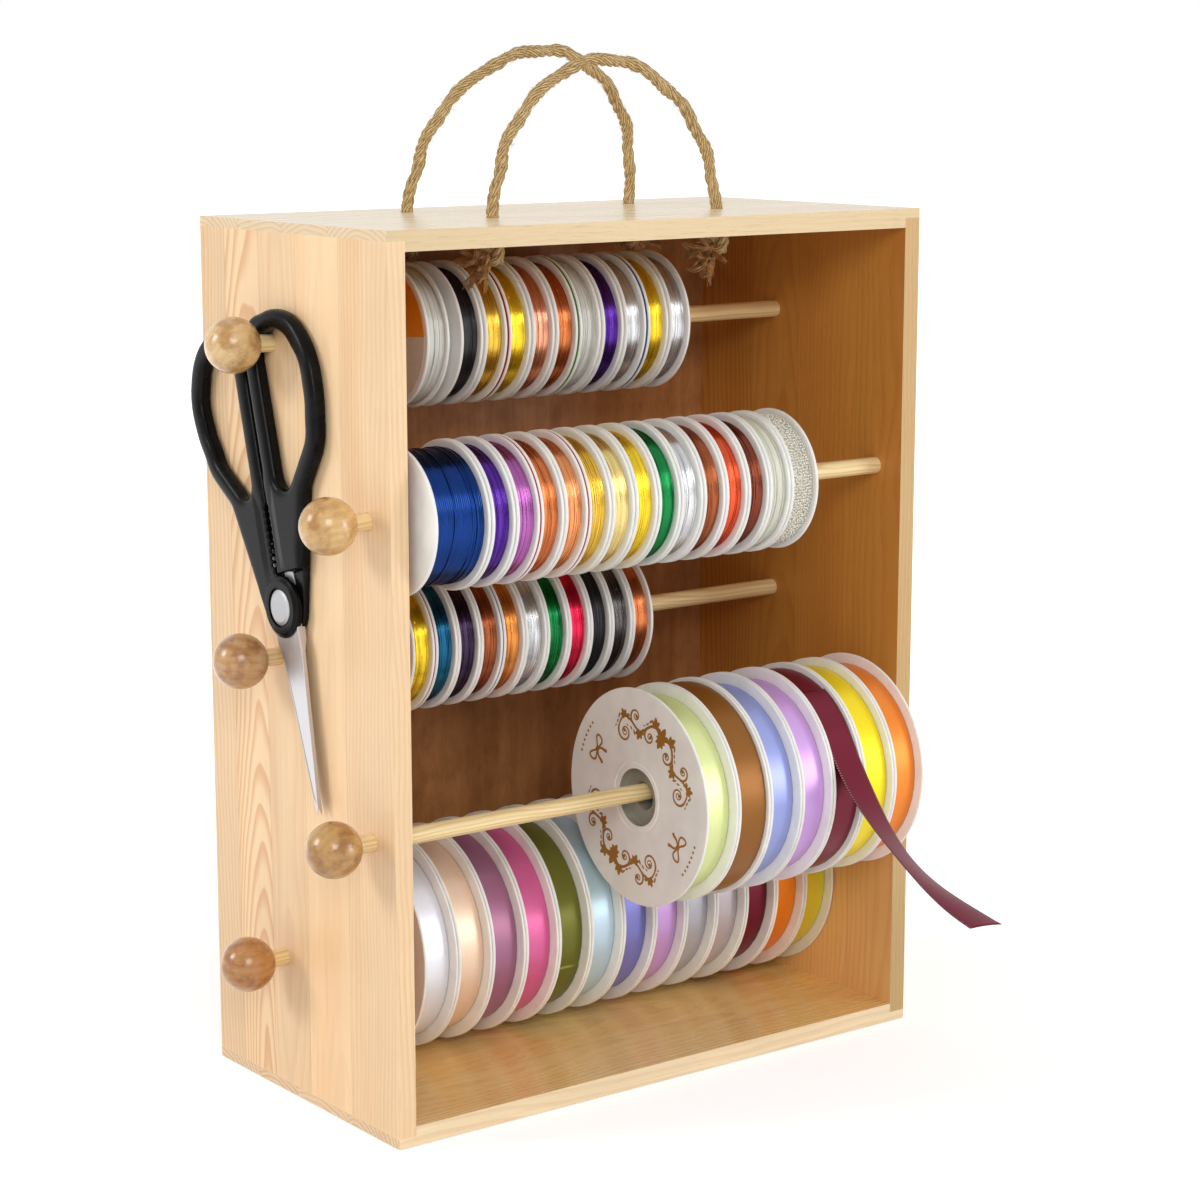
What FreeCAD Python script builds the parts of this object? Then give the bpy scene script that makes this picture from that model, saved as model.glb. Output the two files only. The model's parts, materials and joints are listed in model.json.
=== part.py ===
"""Wooden ribbon and wire spool dispenser.

An open-front pine box carries five dowels. Reels of wire and ribbon hang on the dowels,
each dowel pulls out to the left by its ball knob, two rope handles stand on the top, and a
pair of kitchen scissors hangs on the neck of the top knob.

Millimetres. The origin is the middle of the underside, +Z is up, +X is right, and the open
front faces -Y.
"""
import FreeCAD, Part

import math
import os

Vector = FreeCAD.Vector

# ---------------------------------------------------------------- the box
box_width = 300.0
box_height = 400.0
board = 9.0                    # thickness of the four pine boards
lap = 4.5                      # tongue of the top and bottom over the ends of the sides
back_thickness = 4.0
back_rabbet = 4.5              # width of the ledge that the back is nailed to
brad_radius = 0.8
brad_length = 10.0
brad_head_radius = 1.6
brad_head_height = 0.6
brads_across = 4
brads_up = 4

# ---------------------------------------------------------------- the dowels and their knobs
rod_radius = 4.0
rod_hole_clearance = 0.1       # radial, so that a dowel slides in its holes
rod_stub = 11.0                # what stands out of the right side
rod_chamfer = 0.8
knob_radius = 12.5
knob_neck = 7.2                # bare dowel between the left side and the knob
knob_bore_depth = 14.0
rod_count = 5
top_rod_drop = 44.0            # from the underside of the top board to the top dowel
front_rod_setback = 18.0       # from the front edges of the sides to the front dowels

# ---------------------------------------------------------------- the reels
ribbon_spool_radius = 51.5
ribbon_spool_width = 18.6
ribbon_flange = 1.3
ribbon_core_radius = 19.0
ribbon_hub_radius = 13.5
ribbon_hub_depth = 4.0
ribbon_bore_slack = 2.5        # the bore's radius over the dowel's
wire_spool_radius = 33.0
wire_spool_width = 12.3
wire_flange = 1.1
wire_core_radius = 14.0
wire_hub_radius = 9.0
wire_hub_depth = 2.0
wire_bore_slack = 1.0
wire_wound_radius = 27.5
navy_spool_width = 28.6
elastic_wound_radius = 30.3
pearl_spool_width = 16.2
hanging_gap = 0.3              # between the top of a dowel and the bore that hangs on it
ribbon_gap = 0.5               # between neighbouring ribbon reels
wall_gap = 0.6                 # between the last reel of the bottom row and the right side
floor_gap = 2.3                # between the bottom row and the bottom board
rear_gap = 5.7                 # between the bottom row and the back
row_spacing = 0.5              # between the rims of the two ribbon rows

# Where each row starts, from the inner face of the left side, and the gap between its reels.
top_row_start = 51.4
top_row_first_gap = 6.0
top_row_gap = 1.0
second_row_start = 3.8
second_row_gap = 0.6
third_row_start = 41.6
third_row_gap = 0.3
fourth_row_start = 136.6
bottom_row_count = 13
# How far the ribbon lies below the rim, reel by reel from the left.
fourth_row_below_rim = (5.0, 1.4, 5.0, 5.0, 2.4, 3.6, 4.6)
bottom_row_below_rim = 5.0

# ---------------------------------------------------------------- the loose end of ribbon
tail_reel = 5                  # of the fourth row
tail_width = 15.4
tail_thickness = 0.5
tail_gap = 0.3                 # above the wound ribbon
tail_wrap_start = 119.0        # degrees round the reel, from the back (+Y) over the top
tail_leaves = 150.0
tail_curl_radius = 140.0
tail_end_slope = 8.0           # degrees below level at the cut end

# ---------------------------------------------------------------- the rope handles
rope_radius = 3.0
rope_hole_radius = 3.3
knot_radius = 8.0
knot_gap = 0.3                 # below the top board
fray_length = 17.0
fray_radius = 5.0
# Each handle's route: across, towards the back, and above the top board.
front_rope_points = (
    (-57.5, -21.5, 0.0), (-54.0, -21.0, 25.0), (-37.0, -20.0, 51.0), (-8.0, -19.0, 69.0),
    (22.0, -19.0, 69.5), (50.0, -20.0, 52.0), (68.0, -21.0, 26.0), (71.5, -22.0, 0.0))
rear_rope_points = (
    (-59.5, 44.5, 0.0), (-56.5, 40.5, 26.0), (-40.0, 34.0, 55.0), (-8.0, 28.5, 73.5),
    (24.0, 28.5, 73.5), (54.0, 33.0, 54.0), (69.0, 40.0, 26.0), (70.5, 44.5, 0.0))
front_fray_ways = ((-0.80, -0.15, -0.50), (-0.75, -0.15, -0.60))
rear_fray_ways = ((-0.85, 0.25, -0.45), (0.85, 0.05, -0.45))

# ---------------------------------------------------------------- the scissors
scissors_tilt = 15.0           # degrees, tops of the handles towards the back
scissors_wall_gap = 0.6        # from the left side of the box
handle_thickness = 6.4
handle_bar = 8.0               # width of a finger loop's bar
half_gap = 0.2                 # between the two halves
blade_thickness = 2.0
blade_length = 93.5
boss_radius = 14.0
boss_top = 15.0                # above this each handle has its full thickness
handle_parting = 1.0           # from the middle line to a handle's inner edge
pivot_radius = 3.0
pivot_clearance = 0.1
cap_radius = 8.0
cap_height = 1.0
cap_gap = 0.1                  # between the cap and the half that turns under it
tooth_radius = 1.3
tooth_pitch = 3.2
tooth_count = 9
# A finger loop's opening is the hull of these circles: distance from the middle line,
# height above the pivot, radius. The first is its foot, the last its inner top corner.
hung_loop_circles = ((18.5, 58.0, 8.5), (28.5, 77.0, 15.5), (29.5, 96.0, 17.0),
                     (27.5, 105.0, 15.0), (15.5, 114.0, 6.0))
free_loop_circles = ((16.5, 57.5, 7.0), (25.0, 77.0, 14.0), (28.0, 96.0, 16.5),
                     (26.5, 104.5, 15.0), (15.5, 113.5, 6.0))

# ---------------------------------------------------------------- worked out
half_width = box_width / 2
inner_left = -half_width + board
inner_right = half_width - board
ribbon_bore_radius = rod_radius + ribbon_bore_slack
wire_bore_radius = rod_radius + wire_bore_slack
ribbon_hang = ribbon_bore_slack - hanging_gap
wire_hang = wire_bore_slack - hanging_gap
bottom_rod_height = board + floor_gap + ribbon_spool_radius + ribbon_hang
top_rod_height = box_height - board - top_rod_drop
rod_pitch = (top_rod_height - bottom_rod_height) / (rod_count - 1)
# The two ribbon rows clear each other on the slant, which sets how far the dowels are staggered.
rod_stagger = math.sqrt((2 * ribbon_spool_radius + row_spacing) ** 2 - rod_pitch ** 2)
half_depth = (front_rod_setback + rod_stagger + ribbon_spool_radius + rear_gap + back_thickness) / 2
front_rod_y = -half_depth + front_rod_setback
rear_rod_y = front_rod_y + rod_stagger
rod_places = [(rear_rod_y if row % 2 == 0 else front_rod_y, top_rod_height - row * rod_pitch)
              for row in range(rod_count)]
knob_x = -half_width - knob_neck - knob_radius


def save(node, solids):
    """Write one node, as a single solid or as a group of separate ones."""
    shape = solids[0] if len(solids) == 1 else Part.makeCompound(solids)
    shape.exportStep(f"parts/{node}.step")


def block(x0, x1, y0, y1, z0, z1):
    return Part.makeBox(x1 - x0, y1 - y0, z1 - z0, Vector(x0, y0, z0))


def bar_along_x(radius, x0, x1, y, z):
    return Part.makeCylinder(radius, x1 - x0, Vector(x0, y, z), Vector(1, 0, 0))


def turned(profile, x, y, z):
    """A solid turned about X from (offset along X, radius) points."""
    corners = [Vector(x + offset, y, z + radius) for offset, radius in profile]
    face = Part.Face(Part.makePolygon(corners + corners[:1]))
    return face.revolve(Vector(x, y, z), Vector(1, 0, 0), 360)


def drilled(shape, holes):
    for hole in holes:
        shape = shape.cut(hole)
    return shape


# ---------------------------------------------------------------- the box
def brad_places():
    """Middle of each brad's head on the rear face, in X and Z."""
    edge_x = half_width - (board + back_rabbet) / 2 - back_rabbet / 2
    edge_z = (board + back_rabbet) / 2 + back_rabbet / 2
    places = []
    for i in range(brads_across):
        x = -edge_x + 2 * edge_x * i / (brads_across - 1)
        places += [(x, edge_z), (x, box_height - edge_z)]
    for i in range(1, brads_up - 1):
        z = edge_z + (box_height - 2 * edge_z) * i / (brads_up - 1)
        places += [(-edge_x, z), (edge_x, z)]
    return places


def brads(radius, head_radius):
    solids = []
    for x, z in brad_places():
        shank = Part.makeCylinder(radius, brad_length, Vector(x, half_depth - brad_length, z),
                                  Vector(0, 1, 0))
        head = Part.makeCylinder(head_radius, brad_head_height, Vector(x, half_depth, z), Vector(0, 1, 0))
        solids.append(shank.fuse(head))
    return solids


def flat_panel(bottom):
    """The top or bottom board, with a tongue over each side and a ledge for the back."""
    shape = block(-half_width, half_width, -half_depth, half_depth, bottom, bottom + board)
    inner = bottom if bottom > 0 else bottom + lap
    for side in (-1, 1):
        x0, x1 = sorted((side * half_width, side * (half_width - board)))
        shape = shape.cut(block(x0, x1, -half_depth, half_depth, inner, inner + board - lap))
    ledge = half_width - board + back_rabbet
    rear = half_depth - back_thickness
    return shape.cut(block(-ledge, ledge, rear, half_depth, inner, inner + board - lap))


def side_panel(side):
    """The left (-1) or right (1) board, with the dowel holes and a ledge for the back."""
    x0, x1 = sorted((side * half_width, side * (half_width - board)))
    shape = block(x0, x1, -half_depth, half_depth, lap, box_height - lap)
    inner = x0 if side > 0 else x1 - back_rabbet
    shape = shape.cut(block(inner, inner + back_rabbet, half_depth - back_thickness, half_depth, 0,
                            box_height))
    holes = [bar_along_x(rod_radius + rod_hole_clearance, x0 - 1, x1 + 1, y, z) for y, z in rod_places]
    return drilled(shape, holes)


def make_box():
    rope_holes = [Part.makeCylinder(rope_hole_radius, board + 2, Vector(x, y, box_height - board - 1))
                  for points in (front_rope_points, rear_rope_points)
                  for x, y, up in (points[0], points[-1])]
    holes = brads(brad_radius, brad_radius)
    save("top_panel", [drilled(flat_panel(box_height - board), rope_holes + holes)])
    save("bottom_panel", [drilled(flat_panel(0.0), holes)])
    save("left_side_panel", [drilled(side_panel(-1), holes)])
    save("right_side_panel", [drilled(side_panel(1), holes)])
    edge = half_width - board + back_rabbet
    back = block(-edge, edge, half_depth - back_thickness, half_depth, lap, box_height - lap)
    save("back_panel", [drilled(back, holes)])
    save("back_panel_brads", brads(brad_radius, brad_head_radius))


# ---------------------------------------------------------------- the dowels
def ball_knob(y, z):
    """A ball with a blind bore for the end of its dowel."""
    mouth = math.sqrt(knob_radius ** 2 - rod_radius ** 2)
    floor = knob_radius - knob_bore_depth
    outer_end = Vector(knob_x - knob_radius, y, z)
    rim = Vector(knob_x + mouth, y, z + rod_radius)
    corner = Vector(knob_x + floor, y, z + rod_radius)
    centre = Vector(knob_x + floor, y, z)
    edges = [Part.Arc(outer_end, Vector(knob_x, y, z + knob_radius), rim).toShape(),
             Part.makeLine(rim, corner), Part.makeLine(corner, centre), Part.makeLine(centre, outer_end)]
    return Part.Face(Part.Wire(edges)).revolve(centre, Vector(1, 0, 0), 360)


def make_rods():
    left = knob_x + knob_radius - knob_bore_depth
    length = half_width + rod_stub - left
    for row, (y, z) in enumerate(rod_places, start=1):
        save(f"rod_{row}", [turned([(0, 0), (length, 0), (length, rod_radius - rod_chamfer),
                                    (length - rod_chamfer, rod_radius), (0, rod_radius)], left, y, z)])
        save(f"knob_{row}", [ball_knob(y, z)])


# ---------------------------------------------------------------- the reels
def reel(x, width, y, z, radius, flange, core, hub, depth, bore, wound):
    """One reel and what is wound on it, from its left face at x."""
    body = turned([(0, hub), (0, radius), (flange, radius), (flange, core),
                   (width - flange, core), (width - flange, radius), (width, radius), (width, hub),
                   (width - depth, hub), (width - depth, bore), (depth, bore), (depth, hub)], x, y, z)
    winding = turned([(flange, core), (flange, wound), (width - flange, wound), (width - flange, core)],
                     x, y, z)
    return [body, winding]


def ribbon_reel(x, row, below_rim):
    y, z = rod_places[row - 1]
    return reel(x, ribbon_spool_width, y, z - ribbon_hang, ribbon_spool_radius, ribbon_flange,
                ribbon_core_radius, ribbon_hub_radius, ribbon_hub_depth, ribbon_bore_radius,
                ribbon_spool_radius - below_rim)


def wire_reel(x, row, width=wire_spool_width, wound=wire_wound_radius):
    y, z = rod_places[row - 1]
    return reel(x, width, y, z - wire_hang, wire_spool_radius, wire_flange, wire_core_radius,
                wire_hub_radius, wire_hub_depth, wire_bore_radius, wound)


def wire_group(first, last, row, start, gap):
    """Neighbouring wire reels that share one node, and where the next one starts."""
    solids = []
    for number in range(first, last + 1):
        solids += wire_reel(start, row)
        start += wire_spool_width + gap
    save(f"row_{row}_wire_spools_{first}_to_{last}", solids)
    return start


def make_wire_rows():
    x = inner_left + top_row_start
    save("row_1_wire_spool_1", wire_reel(x, 1))
    x += wire_spool_width + top_row_first_gap
    for first, last in ((2, 4), (5, 7), (8, 9), (10, 11)):
        x = wire_group(first, last, 1, x, top_row_gap)

    x = inner_left + second_row_start
    save("row_2_wire_spool_1", wire_reel(x, 2, navy_spool_width))
    x += navy_spool_width + second_row_gap
    for first, last in ((2, 4), (5, 7), (8, 10), (11, 13)):
        x = wire_group(first, last, 2, x, second_row_gap)
    elastic = wire_reel(x, 2, wound=elastic_wound_radius)
    x += wire_spool_width + second_row_gap
    pearl = wire_reel(x, 2, pearl_spool_width, elastic_wound_radius)
    save("row_2_elastic_and_pearl_spools", elastic + pearl)

    x = inner_left + third_row_start
    for first, last in ((1, 4), (5, 8), (9, 11)):
        x = wire_group(first, last, 3, x, third_row_gap)


def make_ribbon_rows():
    pitch = ribbon_spool_width + ribbon_gap
    for number, below_rim in enumerate(fourth_row_below_rim, start=1):
        x = inner_left + fourth_row_start + (number - 1) * pitch
        save(f"row_4_ribbon_spool_{number}", ribbon_reel(x, 4, below_rim))
    start = inner_right - wall_gap - bottom_row_count * pitch + ribbon_gap
    for number in range(1, bottom_row_count + 1):
        x = start + (number - 1) * pitch
        save(f"row_5_ribbon_spool_{number}", ribbon_reel(x, 5, bottom_row_below_rim))


def polar(centre, radius, degrees):
    """A point in the YZ plane, counted from +Y over +Z."""
    angle = math.radians(degrees)
    return Vector(centre.x, centre.y + radius * math.cos(angle), centre.z + radius * math.sin(angle))


def arc(centre, radius, start, end):
    middle = polar(centre, radius, (start + end) / 2)
    return Part.Arc(polar(centre, radius, start), middle, polar(centre, radius, end)).toShape()


def make_ribbon_tail():
    """The loose end: it lies over the reel, leaves it in front and curls out level."""
    rod_y, rod_z = rod_places[3]
    reel_left = inner_left + fourth_row_start + (tail_reel - 1) * (ribbon_spool_width + ribbon_gap)
    left = reel_left + (ribbon_spool_width - tail_width) / 2
    centre = Vector(left, rod_y, rod_z - ribbon_hang)
    under = ribbon_spool_radius - fourth_row_below_rim[tail_reel - 1] + tail_gap
    over = under + tail_thickness
    curl_centre = polar(centre, over + tail_curl_radius, tail_leaves)
    curl_start = tail_leaves + 180
    curl_end = 270 + tail_end_slope
    wrap = (arc(centre, under, tail_leaves, tail_wrap_start), arc(centre, over, tail_wrap_start, tail_leaves))
    curl = (arc(curl_centre, tail_curl_radius, curl_start, curl_end),
            arc(curl_centre, tail_curl_radius + tail_thickness, curl_end, curl_start))
    start_edge = Part.makeLine(polar(centre, under, tail_wrap_start), polar(centre, over, tail_wrap_start))
    end_edge = Part.makeLine(polar(curl_centre, tail_curl_radius, curl_end),
                             polar(curl_centre, tail_curl_radius + tail_thickness, curl_end))
    outline = Part.Wire(Part.__sortEdges__([start_edge, wrap[1], curl[0], end_edge, curl[1], wrap[0]]))
    save("row_4_ribbon_tail", [Part.Face(outline).extrude(Vector(tail_width, 0, 0))])


# ---------------------------------------------------------------- the rope handles
def rope_tube(points, name):
    """Straight runs joined by tangent arcs, each as large as its two runs allow."""
    corners = [Vector(x, y, box_height + up) for x, y, up in points]
    corners[0] += (corners[0] - corners[1]).normalize() * rope_radius
    corners[-1] += (corners[-1] - corners[-2]).normalize() * rope_radius
    edges = []
    start = corners[0]
    for before, corner, after in zip(corners, corners[1:], corners[2:]):
        back = (before - corner).normalize()
        ahead = (after - corner).normalize()
        turn = math.pi - back.getAngle(ahead)
        reach = 0.45 * min(before.distanceToPoint(corner), corner.distanceToPoint(after))
        radius = reach / math.tan(turn / 2)
        print(f"{name}: arc radius {radius:.1f} mm, turn {math.degrees(turn):.0f} degrees")
        first = corner + back * reach
        last = corner + ahead * reach
        inward = (back + ahead).normalize()
        middle = corner + inward * (radius / math.cos(turn / 2) - radius)
        edges += [Part.LineSegment(start, first).toShape(), Part.Arc(first, middle, last).toShape()]
        start = last
    edges.append(Part.LineSegment(start, corners[-1]).toShape())
    path = Part.Wire(edges)
    section = Part.Wire(Part.makeCircle(rope_radius, corners[0], corners[1] - corners[0]))
    tube = path.makePipeShell([section], True, False)
    ratio = tube.Volume / (math.pi * rope_radius ** 2 * path.Length)
    print(f"{name}: {path.Length:.1f} mm long, volume is {ratio:.4f} of section times length")
    return tube


def knot(point, way):
    """The stub in the hole, the knot under the board and its frayed end."""
    x, y = point[:2]
    top = box_height - board - knot_gap
    middle = Vector(x, y, top - knot_radius * 0.8)
    ball = Part.makeSphere(knot_radius, middle)
    ball = ball.cut(block(x - 20, x + 20, y - 20, y + 20, top, top + 20))
    stub = Part.makeCylinder(rope_radius, box_height - top + 3, Vector(x, y, top - 3))
    fray = Part.makeCone(rope_radius, fray_radius, fray_length, middle + Vector(*way) * (knot_radius - 3),
                         Vector(*way))
    return ball.fuse([stub, fray]).removeSplitter()


def make_ropes():
    for name, points, ways in (("front_rope", front_rope_points, front_fray_ways),
                               ("rear_rope", rear_rope_points, rear_fray_ways)):
        lid = block(-half_width, half_width, -half_depth, half_depth, box_height - 20, box_height)
        save(f"{name}_handle", [rope_tube(points, name).cut(lid)])
        save(f"{name}_knots", [knot(points[0], ways[0]), knot(points[-1], ways[1])])


# ---------------------------------------------------------------- the scissors
def hull(circles, grow, x0, x1):
    """The hull of circles (across, up, radius), given anticlockwise, as a plate from x0 to x1."""
    count = len(circles)
    normals = []
    for i in range(count):
        (u0, v0, r0), (u1, v1, r1) = circles[i], circles[(i + 1) % count]
        length = math.hypot(u1 - u0, v1 - v0)
        heading = math.atan2(v1 - v0, u1 - u0)
        normals.append(heading - math.acos((r0 - r1) / length))
    edges = []
    for i in range(count):
        u, v, radius = circles[i]
        radius += grow
        start, end = normals[i - 1], normals[i]
        while end < start:
            end += 2 * math.pi
        points = [Vector(x0, u + radius * math.cos(angle), v + radius * math.sin(angle))
                  for angle in (start, (start + end) / 2, end)]
        edges.append(Part.Arc(*points).toShape())
    lines = [Part.makeLine(edges[i].Vertexes[-1].Point, edges[(i + 1) % count].Vertexes[0].Point)
             for i in range(count)]
    ordered = [edge for pair in zip(edges, lines) for edge in pair]
    return Part.Face(Part.Wire(ordered)).extrude(Vector(x1 - x0, 0, 0))


def mirrored(side, circles):
    """The same circles on the other side of the middle line, still anticlockwise."""
    if side > 0:
        return list(circles)
    return [(-u, v, radius) for u, v, radius in reversed(circles)]


def plate(points, x0, x1):
    corners = [Vector(x0, u, v) for u, v in points]
    return Part.Face(Part.makePolygon(corners + corners[:1])).extrude(Vector(x1 - x0, 0, 0))


def blade(side, x0, x1):
    """A blade and its tang: the tang runs up its own side, the edge lies across the line."""
    outline = [(-7, 4), (-9.5, -9), (-10, -22), (-2.6, -blade_length), (2.2, -blade_length + 8),
               (8.5, -22), (9.5, -9), (9.5, 36), (2.8, 36), (2.0, boss_top - 1.5)]
    return plate([(side * u, v) for u, v in outline], x0, x1)


def handle(side, x0, x1, layer0, layer1):
    """A finger loop, its shank at full thickness, and the boss in this half's own layer."""
    loop_circles = hung_loop_circles if side < 0 else free_loop_circles
    circles = mirrored(side, loop_circles)
    bottom = loop_circles[0]
    loop = hull(circles, handle_bar, x0, x1)
    shank_circles = mirrored(side, ((0.0, 0.0, boss_radius), (bottom[0], bottom[1],
                                                              bottom[2] + handle_bar)))
    shank = hull(shank_circles, 0.0, x0, x1)
    far = 100.0
    edge, out = side * handle_parting, side * far
    own_side = block(x0, x1, min(edge, out), max(edge, out), boss_top, far)
    own_layer = block(layer0, layer1, min(0, out), max(0, out), -far, boss_top)
    boss = bar_along_x(boss_radius, layer0, layer1, 0, 0)
    shape = loop.fuse([shank.common(own_side), shank.common(own_layer), boss])
    shape = shape.cut(hull(circles, 0.0, x0 - 1, x1 + 1))
    for i in range(tooth_count):
        tooth = bar_along_x(tooth_radius, x0 - 1, x1 + 1, edge, boss_top + 4 + i * tooth_pitch)
        shape = shape.cut(tooth)
    return shape.removeSplitter()


def make_scissors():
    near = -half_width - scissors_wall_gap
    far = near - handle_thickness
    middle = (near + far) / 2
    neck_y, neck_z = rod_places[0]
    tilt = math.radians(scissors_tilt)
    corner_u, corner_v, corner_radius = mirrored(-1, hung_loop_circles)[0]
    drop = corner_radius - rod_radius - hanging_gap
    pivot_y = neck_y - corner_u * math.cos(tilt) - corner_v * math.sin(tilt)
    pivot_z = neck_z - drop + corner_u * math.sin(tilt) - corner_v * math.cos(tilt)

    def placed(shape):
        turned_shape = shape.copy()
        turned_shape.rotate(Vector(0, 0, 0), Vector(1, 0, 0), -scissors_tilt)
        turned_shape.translate(Vector(0, pivot_y, pivot_z))
        return turned_shape

    hung_layer = (middle + half_gap / 2, near)
    free_layer = (far, middle - half_gap / 2)
    hung_blade = blade(-1, hung_layer[0], hung_layer[0] + blade_thickness)
    free_blade = blade(1, free_layer[1] - blade_thickness, free_layer[1])
    hung_handle = handle(-1, far, near, *hung_layer).cut(hung_blade)
    free_handle = handle(1, far, near, *free_layer).cut(free_blade)
    head_end = near - 0.3
    head_height = near - hung_layer[0] - blade_thickness - 0.3
    cap_face = far - cap_gap
    pin = bar_along_x(pivot_radius, cap_face, head_end, 0, 0)
    head = bar_along_x(pivot_radius + 2, head_end - head_height, head_end, 0, 0)
    cap = bar_along_x(cap_radius, cap_face - cap_height, cap_face, 0, 0)
    loose_hole = bar_along_x(pivot_radius + pivot_clearance, far - 1, near + 1, 0, 0)
    head_hole = bar_along_x(pivot_radius + 2 + pivot_clearance, head_end - head_height, near + 1, 0, 0)
    save("scissors_hung_blade", [placed(hung_blade.cut(loose_hole))])
    save("scissors_free_blade", [placed(free_blade.cut(loose_hole))])
    save("scissors_hung_handle", [placed(hung_handle.cut(loose_hole).cut(head_hole))])
    save("scissors_free_handle", [placed(free_handle.cut(loose_hole))])
    save("scissors_pivot", [placed(pin.fuse([head, cap]))])
    print(f"scissors pivot at {pivot_y:.2f}, {pivot_z:.2f}; knob neck at {neck_y:.2f}, {neck_z:.2f}")


os.makedirs("parts", exist_ok=True)
make_box()
make_rods()
make_wire_rows()
make_ribbon_rows()
make_ribbon_tail()
make_ropes()
make_scissors()
print(f"rods at {[(round(y, 2), round(z, 2)) for y, z in rod_places]}")
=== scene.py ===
"""Looks of the ribbon and wire spool dispenser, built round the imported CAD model.

Lengths in the tables are millimetres, in the CAD frame: the origin is the middle of the
underside, +Z is up and the open front faces -Y. Blender's own units are metres.
"""
import json
import math
import random

import bmesh
import bpy
import numpy as np
from mathutils import Matrix, Vector

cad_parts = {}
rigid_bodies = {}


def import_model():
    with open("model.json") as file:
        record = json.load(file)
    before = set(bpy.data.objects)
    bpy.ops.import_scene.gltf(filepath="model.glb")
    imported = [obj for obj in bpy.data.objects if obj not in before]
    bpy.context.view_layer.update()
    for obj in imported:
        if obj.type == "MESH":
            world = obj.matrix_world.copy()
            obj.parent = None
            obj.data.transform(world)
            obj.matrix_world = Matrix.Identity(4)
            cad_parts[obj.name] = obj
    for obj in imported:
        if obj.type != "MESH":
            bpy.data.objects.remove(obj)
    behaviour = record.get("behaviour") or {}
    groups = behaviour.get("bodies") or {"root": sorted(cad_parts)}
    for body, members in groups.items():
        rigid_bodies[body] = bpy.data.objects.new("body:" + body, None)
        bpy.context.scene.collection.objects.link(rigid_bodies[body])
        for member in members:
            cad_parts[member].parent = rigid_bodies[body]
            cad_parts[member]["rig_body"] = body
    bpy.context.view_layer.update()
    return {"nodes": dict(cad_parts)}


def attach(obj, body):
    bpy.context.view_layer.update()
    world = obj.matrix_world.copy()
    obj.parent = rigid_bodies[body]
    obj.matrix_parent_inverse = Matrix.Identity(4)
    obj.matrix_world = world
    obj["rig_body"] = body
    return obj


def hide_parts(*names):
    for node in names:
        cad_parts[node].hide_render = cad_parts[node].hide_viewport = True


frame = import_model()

MM, TURN, AXES = 0.001, 2 * math.pi, "XYZ"
WELD = 0.00001                  # metres between vertices that become one
WHITE = (1.0, 1.0, 1.0, 1.0)
scene = bpy.context.scene
scene.view_settings.view_transform = "Standard"


def srgb(red, green, blue):
    """A colour as a screen shows it, 0 to 255, as Blender's linear RGBA."""
    linear = [c / 12.92 if c <= 0.04045 else ((c + 0.055) / 1.055) ** 2.4
              for c in (red / 255, green / 255, blue / 255)]
    return (*linear, 1.0)


def linked(name, data):
    """A new object of the scene."""
    obj = bpy.data.objects.new(name, data)
    scene.collection.objects.link(obj)
    return obj


# ---------------------------------------------------------------- node materials
def operator(operation, swapped=False):
    """A method that adds a Math node. swapped puts the other number first."""
    def work_out(self, other=0.0):
        return self.tree.math(operation, *((other, self) if swapped else (self, other)))
    return work_out


class Value:
    """What a node gives. Python's operators on it add Math nodes."""

    def __init__(self, tree, socket):
        self.tree, self.socket = tree, socket

    __add__, __mul__, __truediv__ = operator("ADD"), operator("MULTIPLY"), operator("DIVIDE")
    __sub__, __rsub__ = operator("SUBTRACT"), operator("SUBTRACT", swapped=True)
    __gt__, __abs__ = operator("GREATER_THAN"), operator("ABSOLUTE")

    def ramp(self, to_low=0.0, to_high=1.0, low=0.3, high=0.7):
        """A smooth step from to_low, where the value is low, to to_high, where it is high."""
        return self.tree.node("MapRange", {"Value": self, "From Min": low, "From Max": high,
                                           "To Min": to_low, "To Max": to_high},
                              interpolation_type="SMOOTHSTEP")


class Tree:
    """A node tree that is written as expressions."""

    def __init__(self, owner):
        owner.use_nodes = True
        self.nodes, self.links = owner.node_tree.nodes, owner.node_tree.links
        self.nodes.clear()

    def put(self, socket, value):
        if isinstance(value, Value):
            self.links.new(value.socket, socket)
        else:
            socket.default_value = value

    def node(self, kind, inputs, output=0, **settings):
        made = self.nodes.new("ShaderNode" + kind)
        for key, value in settings.items():
            setattr(made, key, value)
        for key, value in inputs.items():
            self.put(made.inputs[key], value)
        return Value(self, made.outputs[output])

    def end(self, kind, shader):
        """Adds the output node, which shows the shader."""
        self.put(self.nodes.new("ShaderNodeOutput" + kind).inputs["Surface"], shader)

    def math(self, operation, a, b=0.0):
        return self.node("Math", {0: a, 1: b, 2: 0.0}, operation=operation)


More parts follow.
